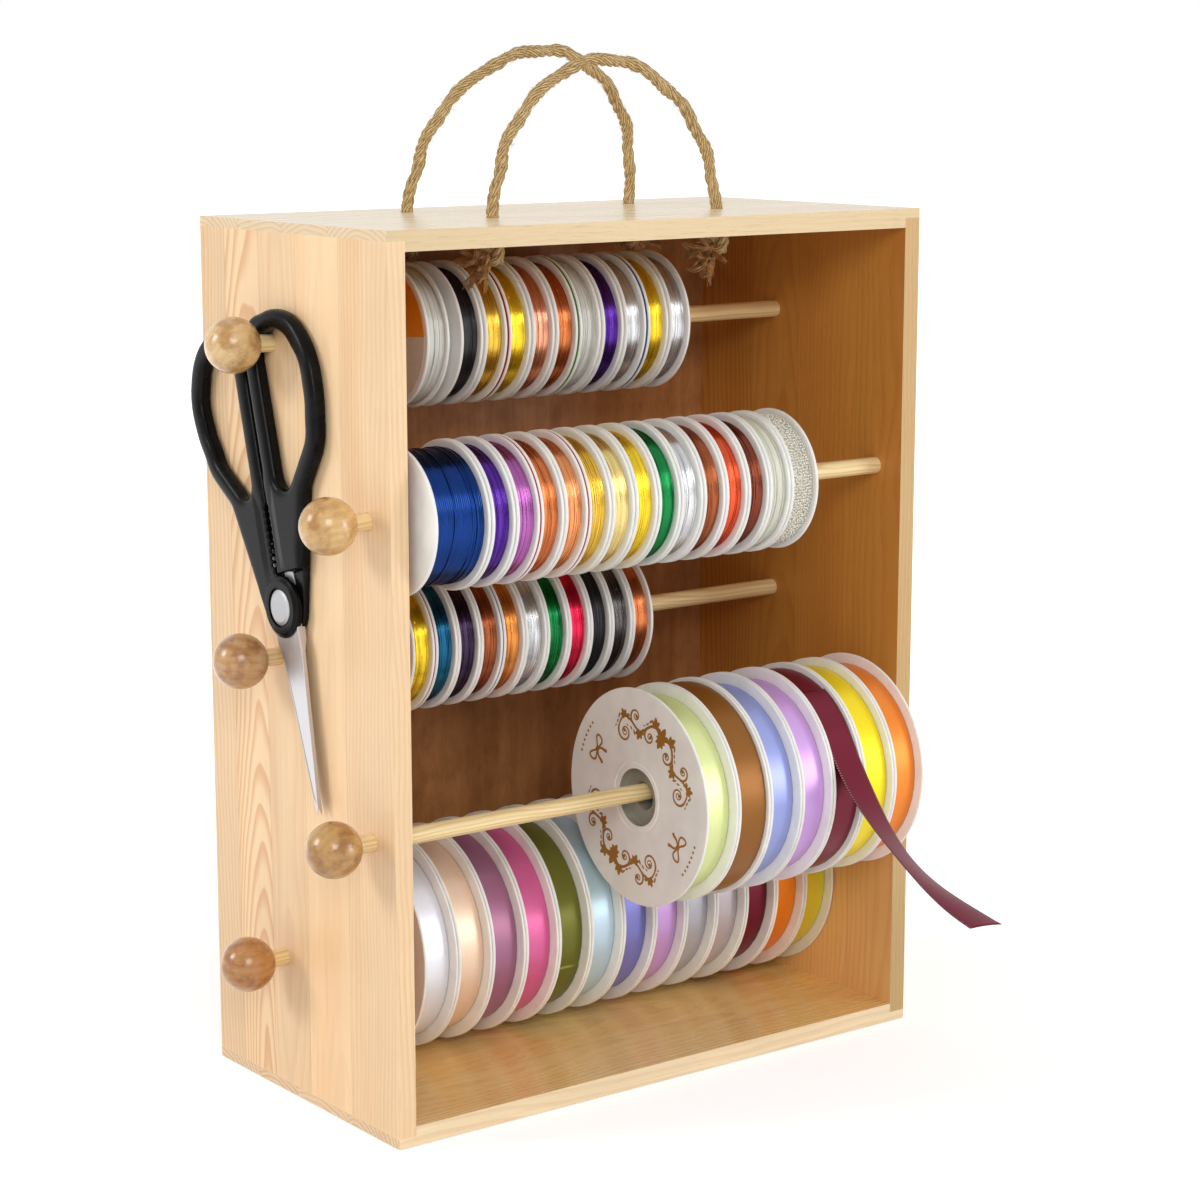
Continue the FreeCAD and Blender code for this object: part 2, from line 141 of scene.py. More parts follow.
class Paint(Tree):
    """A Principled material."""

    def __init__(self, name, **constants):
        self.material = bpy.data.materials.new(name)
        super().__init__(self.material)
        self.shader = self.nodes.new("ShaderNodeBsdfPrincipled")
        self.end("Material", Value(self, self.shader.outputs[0]))
        for key, value in constants.items():
            self.shader.inputs[key.replace("_", " ")].default_value = value
        self.coordinates = self.nodes.new("ShaderNodeTexCoord")
        self.place = Value(self, self.coordinates.outputs["Object"])

    def done(self, colour, roughness, height, distance, strength):
        """Sets what varies over the surface, and gives the finished material."""
        bump = self.node("Bump", {"Height": height, "Distance": distance, "Strength": strength})
        for socket, value in (("Base Color", colour), ("Roughness", roughness), ("Normal", bump)):
            self.put(self.shader.inputs[socket], value)
        return self.material

    def mix(self, share, a, b, blend="MIX"):
        return self.node("Mix", {0: share, 6: a, 7: b}, 2, data_type="RGBA", blend_type=blend)

    def tint(self, share, colour, tone):
        """The colour, multiplied by a tone in that share."""
        return self.mix(share, colour, self.mix(1.0, colour, tone, "MULTIPLY"))

    def shade(self, colour, factor):
        """The colour, multiplied by a number."""
        return self.mix(1.0, colour, self.node("CombineColor", {0: factor, 1: factor, 2: factor}), "MULTIPLY")

    def noise(self, vector, scale=1.0, detail=2.0, roughness=0.5):
        return self.node("TexNoise", {"Vector": vector, "Scale": scale, "Detail": detail,
                                      "Roughness": roughness})

    def grain(self, x, y, z=0.0, detail=2.0, roughness=0.5):
        """Noise over stretched coordinates."""
        return self.noise(self.node("CombineXYZ", {0: x, 1: y, 2: z}), 1.0, detail, roughness)

    def split(self, coordinate):
        """The three numbers of a texture coordinate."""
        made = self.nodes.new("ShaderNodeSeparateXYZ")
        self.links.new(self.coordinates.outputs[coordinate], made.inputs[0])
        return [Value(self, socket) for socket in made.outputs]

    def steps(self, value, edges, levels):
        """levels[0] below the first edge, levels[1] above it, and so on."""
        total = float(levels[0])
        for edge, before, after in zip(edges, levels, levels[1:]):
            if after != before:
                total = (value > edge) * (after - before) + total
        return total


def wood(name, light, dark, along, middle, seed, edges, strips, ring=2.4, streak=0.10, blotch=0.10,
         inside=None, inside_shade=None, inside_shade_low=None, front=None, gloss=0.42, coat=0.0,
         end_share=0.5, mottle=0.0):
    """Sawn pine: growth rings round a pith that each glued strip has somewhere else.

    middle is the board's own middle, through its thickness. edges are where strips meet, as Y.
    A strip is (the pith's offset across, its depth, its tilt, tone, contrast of the rings).
    inside names the side that faces into the box, which is tinted inside_shade as painted shade, or
    inside_shade_low near the floor of the box, a lighter painted shade. front is a darker tint on the front
    edge, painted shade too.
    """
    paint = Paint(name, Coat_Weight=coat, Coat_Roughness=0.18, Specular_IOR_Level=0.4)
    position, normal = paint.split("Object"), paint.split("Normal")
    a, u, w = (position[AXES.index(axis)] for axis in (along, "Y", "X" if along == "Z" else "Z"))
    offset, depth, tilt, tone, contrast = (paint.steps(u, edges, levels) for levels in zip(*strips))
    strip = paint.steps(u, edges, [7.3 * i + seed for i in range(len(strips))])
    wander = paint.grain(a * 7.0, u * 22.0, strip)
    from_pith_u = u * 1000.0 + offset
    from_pith_w = (w - middle) * 1000.0 + depth + a * 1000.0 * tilt
    distance = paint.math("SQRT", from_pith_u * from_pith_u + from_pith_w * from_pith_w)
    phase = paint.math("FRACT", (distance + (wander - 0.5) * 13.0) * (1.0 / ring) + strip)
    late = phase.ramp(0.0, 1.0, 0.30, 0.86) * phase.ramp(1.0, 0.0, 0.90, 1.0)
    fibre = paint.grain(a * 14.0, u * 950.0, w * 950.0, 3.0, 0.6)
    fleck = paint.grain(a * 70.0, u * 2300.0, w * 2300.0, 1.0).ramp(0.0, 1.0, 0.66, 0.74)
    cloud = paint.grain(a * 9.0, u * 30.0, strip, 3.0, 0.55)
    heart = paint.grain(a * 3.2, u * 34.0, paint.math("ADD", strip, 4.0)).ramp(0.0, 0.5, 0.46, 0.72)
    colour = paint.tint(heart, paint.mix(late * contrast, light, dark), (0.93, 0.80, 0.66, 1.0))
    colour = paint.shade(paint.shade(colour, tone), (fibre - 0.5) * (streak * 2)
                         + (cloud - 0.5) * (blotch * 2) + fleck * -0.09 + 1.0)
    if mottle:
        spot = paint.noise(paint.place, 120.0, 4.0, 0.62).ramp(0.0, mottle, 0.40, 0.64)
        colour = paint.tint(spot, colour, (0.62, 0.46, 0.28, 1.0))
    # Painted shade inside the box is lighter towards its floor.
    if inside_shade_low:
        inside_shade = paint.mix(position[2].ramp(0.0, 1.0, 0.015, 0.17), inside_shade_low, inside_shade)
    # Painted shade: the inside face and the front edge are darkened by a tint.
    for side, painted_shade in ((inside, inside_shade), ("-Y", front)):
        if painted_shade:
            facing = normal[AXES.index(side[1])] * (1.0 if side[0] == "+" else -1.0) > 0.5
            colour = paint.tint(facing, colour, painted_shade)
    end_grain = paint.mix(phase.ramp(0.25, 1.0, 0.1, 0.9), light, dark)
    end_grain = paint.mix(0.35, end_grain, srgb(150, 90, 52))
    colour = paint.mix((abs(normal[AXES.index(along)]) > 0.6) * end_share, colour, end_grain)
    for edge in edges:
        colour = paint.shade(colour, abs(u - edge).ramp(0.80, 1.0, 0.00008, 0.0003))
    return paint.done(colour, fibre * 0.12 + late * -0.05 + (gloss - 0.05),
                      fibre * 0.6 + late * 0.5 + fleck * -0.6, 0.00008, 0.7)


def back_board():
    """Thin plywood sealed brown: long blurred figure and fine mottling."""
    paint = Paint("back_board", Specular_IOR_Level=0.3)
    x, _, z = paint.split("Object")
    mottle = paint.grain(x * 90.0, z * 60.0, 3.0, 5.0, 0.65)
    figure = paint.grain(x * 55.0, z * 5.0, 8.0, 3.0, 0.6)
    pores = paint.grain(x * 2200.0, z * 120.0, 1.0)
    colour = paint.mix(figure.ramp(), srgb(196, 136, 82), srgb(160, 104, 58))
    colour = paint.mix(mottle.ramp(0.0, 0.42, 0.38, 0.72), colour, srgb(126, 78, 42))
    return paint.done(paint.shade(colour, pores.ramp(1.0, 0.82, 0.5, 0.72)), mottle.ramp(0.42, 0.6),
                      mottle + pores * -0.5, 0.0001, 0.6)


def reel_plastic(name, tone, depth):
    """Milky moulded plastic with faint flow marks and scuffs. depth is how far light goes in."""
    paint = Paint(name, Subsurface_Weight=depth, Subsurface_Scale=0.0025, Specular_IOR_Level=0.45,
                  Subsurface_Radius=(1.0, 1.0, 0.9))
    flow = paint.noise(paint.place, 90.0, 3.0)
    scuff = paint.noise(paint.place, 700.0, 4.0, 0.7).ramp(0.0, 1.0, 0.6, 0.75)
    return paint.done(paint.shade(tone, flow.ramp(0.95, 1.03) + scuff * -0.05),
                      flow.ramp(0.28, 0.38) + scuff * 0.15, flow + scuff * 0.15, 0.00012, 0.5)


def satin(name, tone, width):
    """Woven satin ribbon: long floats, a soft sheen and a picot selvedge."""
    paint = Paint(name, Metallic=0.38, Specular_IOR_Level=0.35)
    u, v, _ = paint.split("UV")
    floats = paint.grain(u * 260.0, v * 9000.0, roughness=0.6)
    bands = paint.grain(u * 14.0, v * 240.0)
    picks = paint.math("SINE", u * (TURN / 0.00032))
    selvedge = paint.math("MINIMUM", v, width - v).ramp(1.0, 0.0, 0.0006, 0.0009)
    dots = paint.math("SINE", u * (TURN / 0.0013)).ramp(0.0, 1.0, -0.1, 0.5)
    colour = paint.shade(tone, floats.ramp(0.94, 1.05) + bands * 0.05 - 0.02)
    edge_tone = paint.mix(dots, paint.shade(tone, 0.62), paint.mix(0.18, tone, WHITE))
    return paint.done(paint.mix(selvedge, colour, edge_tone), floats.ramp(0.32, 0.42) + selvedge * 0.2,
                      floats + picks * 0.25 + selvedge * dots * 4.0, 0.000012, 0.6)


def wire_metal(name, tone, roughness, metallic):
    """Drawn wire under clear or coloured enamel."""
    paint = Paint(name, Metallic=metallic, Coat_Weight=0.12, Coat_Roughness=0.08)
    u, v, _ = paint.split("UV")
    turn = paint.grain(u * 12.0, v * 1600.0)
    drawn = paint.grain(u * 400.0, v * 6000.0)
    return paint.done(paint.shade(tone, turn.ramp(0.82, 1.08) + drawn * 0.08 - 0.04),
                      turn.ramp(roughness - 0.04, roughness + 0.06) + drawn * 0.05, drawn, 0.00001, 0.5)


def clear_cord(name, tone, roughness=0.16):
    """Nylon or elastic cord, cloudy where its turns lie on each other."""
    paint = Paint(name, Subsurface_Weight=0.5, Subsurface_Scale=0.003, Specular_IOR_Level=0.7,
                  Subsurface_Radius=(1.0, 1.0, 1.0), Coat_Weight=0.3, Coat_Roughness=0.1)
    u, v, _ = paint.split("UV")
    turn = paint.grain(u * 30.0, v * 900.0, detail=3.0)
    return paint.done(paint.shade(tone, turn.ramp(0.88, 1.04)), turn.ramp(roughness, roughness + 0.12),
                      turn, 0.00004, 0.6)


def jute_fibre(name, light, dark):
    """Jute: fibres in several browns that run along the strand, with painted shade in the grooves between its
    yarns.
    """
    paint = Paint(name, Sheen_Weight=0.08, Sheen_Roughness=0.6, Specular_IOR_Level=0.15)
    u, v, _ = paint.split("UV")
    skew = v / (0.50 * ROPE_RADIUS * MM) + u * (YARN_TURN / MM)
    # yarn paints shade: the colour is darker in the grooves between the yarns.
    yarn = paint.math("COSINE", skew * 7.0)
    strand = paint.grain(u * 260.0, skew * 9.0, detail=4.0, roughness=0.7)
    patch = paint.grain(u * 90.0, skew * 0.8)
    fleck = paint.grain(u * 420.0, skew * 3.5, 5.0, 3.0, 0.7)
    colour = paint.mix((strand + yarn * 0.10).ramp(0.0, 1.0, 0.30, 0.68), dark, light)
    colour = paint.mix(patch.ramp(0.0, 0.5, 0.45, 0.75), colour, srgb(236, 206, 156))
    return paint.done(paint.shade(colour, fleck.ramp(1.0, 0.34, 0.50, 0.68)), strand.ramp(0.75, 0.92),
                      strand + fleck * -0.6, 0.0003, 1.0)


def scissors_plastic():
    """Satin black handles: fine spark-eroded grain and rubbed high spots."""
    paint = Paint("scissors_plastic", Specular_IOR_Level=0.10)
    grain = paint.noise(paint.place, 2600.0)
    wear = paint.noise(paint.place, 160.0, 3.0, 0.6)
    colour = paint.mix(wear.ramp(0.0, 1.0, 0.45, 0.75), srgb(10, 10, 11), srgb(20, 20, 22))
    return paint.done(colour, wear.ramp(0.20, 0.28) + grain * 0.04, grain, 0.00005, 0.5)


def steel(name, tone, roughness, stretch=(7000.0, 7000.0, 40.0)):
    """Ground steel: a few smudges, and scratches that are fine on two axes and long on the third."""
    paint = Paint(name, Metallic=1.0)
    scratch = paint.noise(paint.node("VectorMath", {0: paint.place, 1: stretch}, operation="MULTIPLY"))
    smudge = paint.noise(paint.place, 120.0, 3.0, 0.6)
    return paint.done(paint.shade(tone, scratch.ramp(0.93, 1.04) + smudge * 0.05 - 0.02),
                      scratch.ramp(roughness - 0.04, roughness + 0.05) + smudge * 0.08, scratch, 0.00001, 0.6)


def printed(name, tone, roughness=0.35, metallic=0.0):
    """Ink, foil or a paper label with slightly uneven cover."""
    paint = Paint(name, Metallic=metallic)
    cover = paint.noise(paint.place, 1500.0, 3.0, 0.6)
    cloud = paint.noise(paint.place, 200.0)
    return paint.done(paint.shade(tone, cover.ramp(0.90, 1.06) + cloud * 0.06 - 0.03),
                      cover.ramp(roughness - 0.05, roughness + 0.1), cover, 0.00002, 0.4)


# ---------------------------------------------------------------- meshes
def numbers_of(items, key, width):
    """One row of numbers for each vertex, face or corner."""
    values = np.empty(len(items) * width, np.float32)
    items.foreach_get(key, values)
    return values.reshape(-1, width)


def set_numbers(items, key, values):
    """The same rows, written back."""
    items.foreach_set(key, np.asarray(values).astype(np.float32).ravel())


def add_mesh(name, points, faces, materials, uvs=None, slots=None, smooth=True):
    """A mesh object from arrays in millimetres. uvs has one row for each face corner."""
    mesh = bpy.data.meshes.new(name)
    faces = np.asarray(faces, np.int32)
    count, sides = faces.shape
    mesh.vertices.add(len(points))
    set_numbers(mesh.vertices, "co", np.asarray(points, float) * MM)
    mesh.loops.add(count * sides)
    mesh.loops.foreach_set("vertex_index", faces.ravel())
    mesh.polygons.add(count)
    mesh.polygons.foreach_set("loop_start", np.arange(0, count * sides, sides, dtype=np.int32))
    mesh.polygons.foreach_set("loop_total", np.full(count, sides, np.int32))
    for material in materials:
        mesh.materials.append(material)
    if slots is not None:
        mesh.polygons.foreach_set("material_index", np.asarray(slots, np.int32))
    mesh.polygons.foreach_set("use_smooth", np.full(count, smooth))
    if uvs is not None:
        set_numbers(mesh.uv_layers.new(name="UVMap").data, "uv", np.asarray(uvs, float) * MM)
    mesh.update(calc_edges=True)
    mesh.validate()
    return linked(name, mesh)


def rounded(corners, radius, steps=3):
    """A closed outline with rounded corners, and a point beside each end of every arc, so that
    flat faces shade flat. A corner is (x, y) or (x, y, its own radius)."""
    out, count = [], len(corners)
    for i, corner in enumerate(corners):
        point = np.array(corner[:2], float)
        size = corner[2] if len(corner) > 2 else radius
        back = np.array(corners[i - 1][:2], float) - point
        ahead = np.array(corners[(i + 1) % count][:2], float) - point
        back_length, ahead_length = np.linalg.norm(back), np.linalg.norm(ahead)
        back, ahead = back / back_length, ahead / ahead_length
        if back @ ahead < -0.999:
            out.append(point)
            continue
        half = math.acos(float(np.clip(back @ ahead, -1, 1))) / 2
        reach = min(size / math.tan(half), 0.42 * back_length, 0.42 * ahead_length)
        size = reach * math.tan(half)
        centre = point + (back + ahead) / np.linalg.norm(back + ahead) * size / math.sin(half)
        first, last = point + back * reach, point + ahead * reach
        spare = min(0.12 * size + 0.03, 0.05 * back_length, 0.05 * ahead_length)
        out.append(first + back * spare)
        (x, y), end = first - centre, last - centre
        sweep = math.copysign(math.pi - 2 * half, x * end[1] - y * end[0])
        for k in range(steps + 1):
            cos, sin = math.cos(sweep * k / steps), math.sin(sweep * k / steps)
            out.append(centre + np.array((x * cos - y * sin, x * sin + y * cos)))
        out.append(last + ahead * spare)
    return np.array(out)


def lengths_along(points):
    """How far along the line each of its points is."""
    return np.concatenate([[0], np.cumsum(np.linalg.norm(np.diff(points, axis=0), axis=1))])


def lathe(name, profile, axis, segments, materials, slot_of=None, radius_of=None, x_of=None,
          spiral=0.0, start=0.0):
    """A solid turned about the line along X through axis, from a closed profile of (x, radius)
    that runs clockwise with x to the right and radius up. spiral is how much the radius falls in
    one turn, which leaves a step at the start angle, in degrees."""
    profile = np.asarray(profile, float)
    count, columns = len(profile), segments + 1 if spiral else segments
    turn = np.arange(columns) / segments
    angle = (TURN * turn + math.radians(start))[:, None]
    x, radius = (np.repeat(profile[None, :, k], columns, 0) for k in (0, 1))
    if spiral:
        radius = radius - spiral * turn[:, None] * (radius > profile[:, 1].max() - 1.5)
    if radius_of is not None:
        radius = radius + radius_of(angle, x, radius)
    if x_of is not None:
        x = x + x_of(angle, x, radius)
    points = np.stack([x, axis[0] + radius * np.cos(angle), axis[1] + radius * np.sin(angle)], -1)
    j, i = np.repeat(np.arange(columns), count), np.tile(np.arange(count), columns)
    i_next, j_next = (i + 1) % count, (j + 1) % columns
    here, there = j * count, j_next * count
    faces = np.stack([here + i, there + i, there + i_next, here + i_next], -1)
    lengths = lengths_along(np.vstack([profile, profile[:1]]))
    along = TURN * profile[:, 1].max() / segments
    uvs = np.stack([np.stack([jj * along, lengths[ii]], -1)
                    for ii, jj in ((i, j), (i, j + 1), (i + 1, j + 1), (i + 1, j))], 1)
    slots = None if slot_of is None else np.tile(
        [slot_of((profile[k] + profile[(k + 1) % count]) / 2) for k in range(count)], columns)
    return add_mesh(name, points.reshape(-1, 3), faces, materials, uvs.reshape(-1, 2), slots)


def frames_along(points):
    """Tangents and two steady normals along a line of points."""
    tangents = np.gradient(points, axis=0)
    tangents /= np.linalg.norm(tangents, axis=1)[:, None]
    first = np.cross(tangents[0], (0.0, 1.0, 0.0) if abs(tangents[0][1]) < 0.9 else (1.0, 0.0, 0.0))
    normals = [first / np.linalg.norm(first)]
    for tangent in tangents[1:]:
        normal = normals[-1] - tangent * (normals[-1] @ tangent)
        normals.append(normal / np.linalg.norm(normal))
    normals = np.array(normals)
    return tangents, normals, np.cross(tangents, normals)


def tube_arrays(points, radius, sides, yarn_height=0.0, cap=True):
    """Points, four-cornered faces and UVs of a tube. radius may be one number for each point.
    A yarn height gives it the twisted yarns of a strand of rope."""
    points = np.asarray(points, float)
    count = len(points)
    _, normals, others = frames_along(points)
    radius = np.broadcast_to(np.asarray(radius, float), (count,))
    angle = TURN * np.arange(sides) / sides
    length = lengths_along(points)
    yarns = yarn_height * np.cos(YARNS * (angle[None, :] + YARN_TURN * length[:, None]))
    reach = radius[:, None] + yarns
    verts = (points[:, None, :] + (reach * np.cos(angle))[..., None] * normals[:, None, :]
             + (reach * np.sin(angle))[..., None] * others[:, None, :]).reshape(-1, 3)
    i, k = np.repeat(np.arange(count - 1), sides), np.tile(np.arange(sides), count - 1)
    k_next = (k + 1) % sides
    here, there = i * sides, (i + 1) * sides
    faces = np.stack([here + k, here + k_next, there + k_next, there + k], -1)
    round_way = TURN * float(radius.max()) / sides
    uvs = np.stack([np.stack([length[ii], kk * round_way], -1)
                    for ii, kk in ((i, k), (i, k + 1), (i + 1, k + 1), (i + 1, k))], 1)
    for ring in (0, count - 1) if cap else ():
        middle = len(verts)
        verts = np.vstack([verts, points[ring]])
        for start in range(0, sides, 2):
            a, b, c = (ring * sides + (start + n) % sides for n in range(3))
            faces = np.vstack([faces, [middle, a, b, c] if ring else [middle, c, b, a]])
            uvs = np.concatenate([uvs, np.full((1, 4, 2), float(length[ring]))])
    return verts, faces, uvs


def merged(name, parts, materials, slots=None, smooth=True):
    """One object from several (points, faces, uvs or None). slots has one number for each part."""
    bases = np.cumsum([0] + [len(part[0]) for part in parts[:-1]])
    points = np.vstack([part[0] for part in parts])
    faces = np.vstack([part[1] + base for part, base in zip(parts, bases)])
    uvs = None if parts[0][2] is None else np.vstack([part[2].reshape(-1, 2) for part in parts])
    kinds = np.repeat(slots or [0] * len(parts), [len(part[1]) for part in parts])
    return add_mesh(name, points, faces, materials, uvs, kinds, smooth)


def edit(mesh, change):
    """Runs a bmesh operation on a mesh."""
    work = bmesh.new()
    work.from_mesh(mesh)
    change(work)
    work.to_mesh(mesh)
    work.free()


def bevelled(obj, width, segments, angle):
    """Rounds the edges that are sharper than the angle, in degrees."""
    bevel = obj.modifiers.new("edge", "BEVEL")
    bevel.width, bevel.segments = width * MM, segments
    bevel.limit_method, bevel.angle_limit = "ANGLE", math.radians(angle)
    return bevel


def soften(node, material, width, segments=3):
    """Paints a CAD node and rounds its hard edges with modifiers."""
    obj = paint_node(node, material)
    obj.modifiers.new("weld", "WELD").merge_threshold = WELD
    bevelled(obj, width, segments, 40.0).harden_normals = True


def paint_node(node, material):
    """Gives a CAD node one material."""
    obj = frame["nodes"][node]
    obj.data.materials.clear()
    obj.data.materials.append(material)
    return obj


def placed(obj, body, *replaced, slot=None):
    """Puts a finished piece on its body, in place of the CAD nodes it stands for."""
    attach(obj, body)
    if replaced:
        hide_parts(*replaced)
    return obj


# ---------------------------------------------------------------- the rope handles
HEIGHT = 400.0                  # of the box
ROPE_RADIUS, ROPE_LAY, ROPE_STEP = 3.0, 15.0, 0.7
YARNS, YARN_TURN = 7, 0.12      # of a strand, and the radians that they turn in each millimetre
KNOT_MIDDLE, KNOT_SIZE, KNOT_DEPTH, KNOT_ROPE = 384.3, 1.55, 3.1, 2.75
HAIRS, HAIR_STEPS, LOCKS, LOCK_FIBRES = 620, 6, 26, 22  # stray fibres, and a frayed end's
FUZZ_LENGTH, FUZZ_RADIUS, FRAY_LENGTH, FRAY_RADIUS = (1.0, 3.0), (0.045, 0.085), (10.0, 17.0), (0.20, 0.40)
# A rope's length in metres, its control points with Z from the top of the box, and the ways that
# its two frayed ends point.
ROPES = {
    "front_rope": (0.208, (
        (-57.5, -21.5, 0.0), (-54.0, -21.0, 25.0), (-37.0, -20.0, 51.0), (-8.0, -19.0, 69.0),
        (22.0, -19.0, 69.5), (50.0, -20.0, 52.0), (68.0, -21.0, 26.0), (71.5, -22.0, 0.0)),
        ((-0.80, -0.15, -0.50), (-0.75, -0.15, -0.60))),
    "rear_rope": (0.221, (
        (-59.5, 44.5, 0.0), (-56.5, 40.5, 26.0), (-40.0, 34.0, 55.0), (-8.0, 28.5, 73.5),
        (24.0, 28.5, 73.5), (54.0, 33.0, 54.0), (69.0, 40.0, 26.0), (70.5, 44.5, 0.0)),
        ((-0.85, 0.34, -0.34), (0.85, 0.05, -0.45)))}


def spline_line(points):
    """The smooth line that a NURBS spline draws from these control points."""
    data = bpy.data.curves.new("route", "CURVE")
    data.dimensions, data.resolution_u = "3D", 24
    spline = data.splines.new("NURBS")
    spline.points.add(len(points) - 1)
    for place, point in zip(spline.points, points):
        place.co = (*(c * MM for c in point), 1.0)
    spline.order_u, spline.use_endpoint_u = 3, True
    route = linked("route", data)
    bpy.context.view_layer.update()
    mesh = bpy.data.meshes.new_from_object(route)
    line = np.array([v.co for v in mesh.vertices]) / MM
    bpy.data.objects.remove(route)
    bpy.data.meshes.remove(mesh)
    return line


def evenly(line):
    """The same line, with its points at even steps."""
    length = lengths_along(line)
    at = np.linspace(0, length[-1], max(4, int(round(length[-1] / ROPE_STEP)) + 1))
    return np.stack([np.interp(at, length, line[:, k]) for k in range(3)], -1)


def strands(line, radius, sides=14, uneven=0.0):
    """Three strands laid round a line, each with the grooves of its own yarns. An uneven rope
    wanders a little between its ends, and is thick and thin by turns."""
    _, normals, others = frames_along(line)
    length = lengths_along(line)
    share = uneven * np.clip(np.minimum(length, length[-1] - length) / 14.0, 0, 1)
    turns = length / ROPE_LAY + 0.14 * share * np.sin(length / 5.9 + 1.0)
    line = (line + (0.55 * share * np.sin(length / 4.7 + 0.4))[:, None] * normals
            + (0.45 * share * np.sin(length / 3.6 + 2.0))[:, None] * others)
    thick = 1.0 + 0.07 * share * np.sin(length / 3.1) + 0.04 * share * np.sin(length / 1.9 + 1.3)
    parts = []
    for number in range(3):
        angle = TURN * (turns + number / 3)
        centre = line + (0.43 * radius * thick)[:, None] * (np.cos(angle)[:, None] * normals
                                                            + np.sin(angle)[:, None] * others)
        parts.append(tube_arrays(centre, 0.54 * radius * thick, sides, 0.03 * radius))
    return parts


def hair(rng, root, way, length, thickness, curl):
    """One loose fibre: a thin tapered tube that bends as it goes."""
    way = np.asarray(way, float) / np.linalg.norm(way)
    points = [np.asarray(root, float)]
    for _ in range(HAIR_STEPS):
        way = way + np.array([rng.gauss(0, curl) for _ in range(3)])
        way /= np.linalg.norm(way)
        points.append(points[-1] + way * length / HAIR_STEPS)
    return tube_arrays(points, np.linspace(thickness, thickness * 0.45, HAIR_STEPS + 1), 4, cap=False)


def frayed_end(rng, middle, way):
    """The rope opens into locks of fibres that curl together."""
    way = np.asarray(way) / np.linalg.norm(way)
    sideways = np.cross(way, (0.0, 0.0, 1.0))
    sideways /= np.linalg.norm(sideways)
    upward = np.cross(sideways, way)
    hairs = []
    for _ in range(LOCKS):
        angle, spread = rng.uniform(0, TURN), math.sqrt(rng.random())
        out = math.cos(angle) * sideways + math.sin(angle) * upward
        root, heading = middle + way * 4.0 + out * 2.4 * spread, way + out * spread * rng.uniform(0.12, 0.50)
        bend, reach = rng.getrandbits(30), rng.uniform(*FRAY_LENGTH)
        for _ in range(LOCK_FIBRES):
            jitter, aside = (np.array([rng.gauss(0, size) for _ in range(3)]) for size in (0.38, 0.035))
            hairs.append(hair(random.Random(bend), root + jitter, heading + aside,
                              reach * rng.uniform(0.8, 1.08), rng.uniform(*FRAY_RADIUS), 0.30))
    return hairs


def make_rope(name, jute, jute_loose, rng):
    """A rope handle, the stray fibres that stand off it, and its knots and frayed ends."""
    length, route, fray_ways = ROPES[name]
    points = [(x, y, HEIGHT + up) for x, y, up in route]
    line = evenly(spline_line(points))
    rope = merged(f"{name}_strands", strands(line, ROPE_RADIUS, uneven=1.0), [jute])
    placed(rope, "cabinet", f"{name}_handle", slot="jute_rope")
    tangents, normals, others = frames_along(line)
    hairs = []
    for _ in range(HAIRS):
        k, angle = rng.randrange(3, len(line) - 3), rng.uniform(0, TURN)
        out = math.cos(angle) * normals[k] + math.sin(angle) * others[k]
        way = tangents[k] * rng.choice((-1, 1)) * rng.uniform(0.8, 1.4) + out * rng.uniform(0.1, 0.5)
        hairs.append(hair(rng, line[k] + out * ROPE_RADIUS * 0.86, way, rng.uniform(*FUZZ_LENGTH),
                          rng.uniform(*FUZZ_RADIUS), 0.22))
    fuzz = placed(merged(f"{name}_fuzz", hairs, [jute_loose]), "cabinet")
    # The knots under the board, each a trefoil with a stub of rope up to the hole.
    parts, kinds = [], []
    turn = np.linspace(0, TURN, 150)
    trefoil = np.stack([KNOT_SIZE * (np.sin(turn) + 2 * np.sin(2 * turn)),
                        KNOT_SIZE * (np.cos(turn) - 2 * np.cos(2 * turn)),
                        -KNOT_DEPTH * np.sin(3 * turn)], -1)[:-1]
    for (x, y, _), way in zip((route[0], route[-1]), fray_ways):
        middle = np.array((x, y, KNOT_MIDDLE))
        knot = trefoil + middle
        stub = np.linspace(middle + (0, 0, 2), (x, y, HEIGHT + 0.2), 24)
        laid = strands(evenly(np.vstack([knot, knot[:1]])), KNOT_ROPE, 12) + strands(stub, ROPE_RADIUS, 12)
        loose = frayed_end(rng, middle, way)
        parts += laid + loose
        kinds += [0] * len(laid) + [1] * len(loose)
    knots = merged(f"{name}_knots_frayed", parts, [jute, jute_loose], kinds)
    placed(knots, "cabinet", f"{name}_knots", slot="jute_rope")


# ---------------------------------------------------------------- the reels and what they hold
INNER_LEFT, INNER_RIGHT = -141.0, 141.0
ROD_PLACES = ((16.29, 347.0), (-59.49, 276.5), (16.29, 206.0), (-59.49, 135.5), (16.29, 65.0))
# hang is how far a reel's middle is under its dowel's, bead how far its rim stands in.
RIBBON_REEL = {"radius": 51.5, "width": 18.6, "flange": 1.3, "core": 19.0, "hub": 13.5, "depth": 4.0,
               "bore": 6.5, "hang": 2.2, "bead": 0.0, "segments": 144}
WIRE_REEL = {"radius": 33.0, "width": 12.3, "flange": 1.1, "core": 14.0, "hub": 9.0, "depth": 2.0,
             "bore": 5.0, "hang": 0.7, "bead": 0.45, "segments": 112}
RIBBON_GAP = 0.25               # between the ribbon and each flange
WIRE_WOUND, CORD_WOUND, FULL_CORD_WOUND, ELASTIC_WOUND = 29.5, 30.1, 30.9, 30.5     # radii
PEARLS_WOUND, PEARL_RADIUS = 30.8, 0.7


def reel_axis(row, size):
    """Y and Z of the line that a row's reels turn about."""
    y, z = ROD_PLACES[row - 1]
    return y, z - size["hang"]


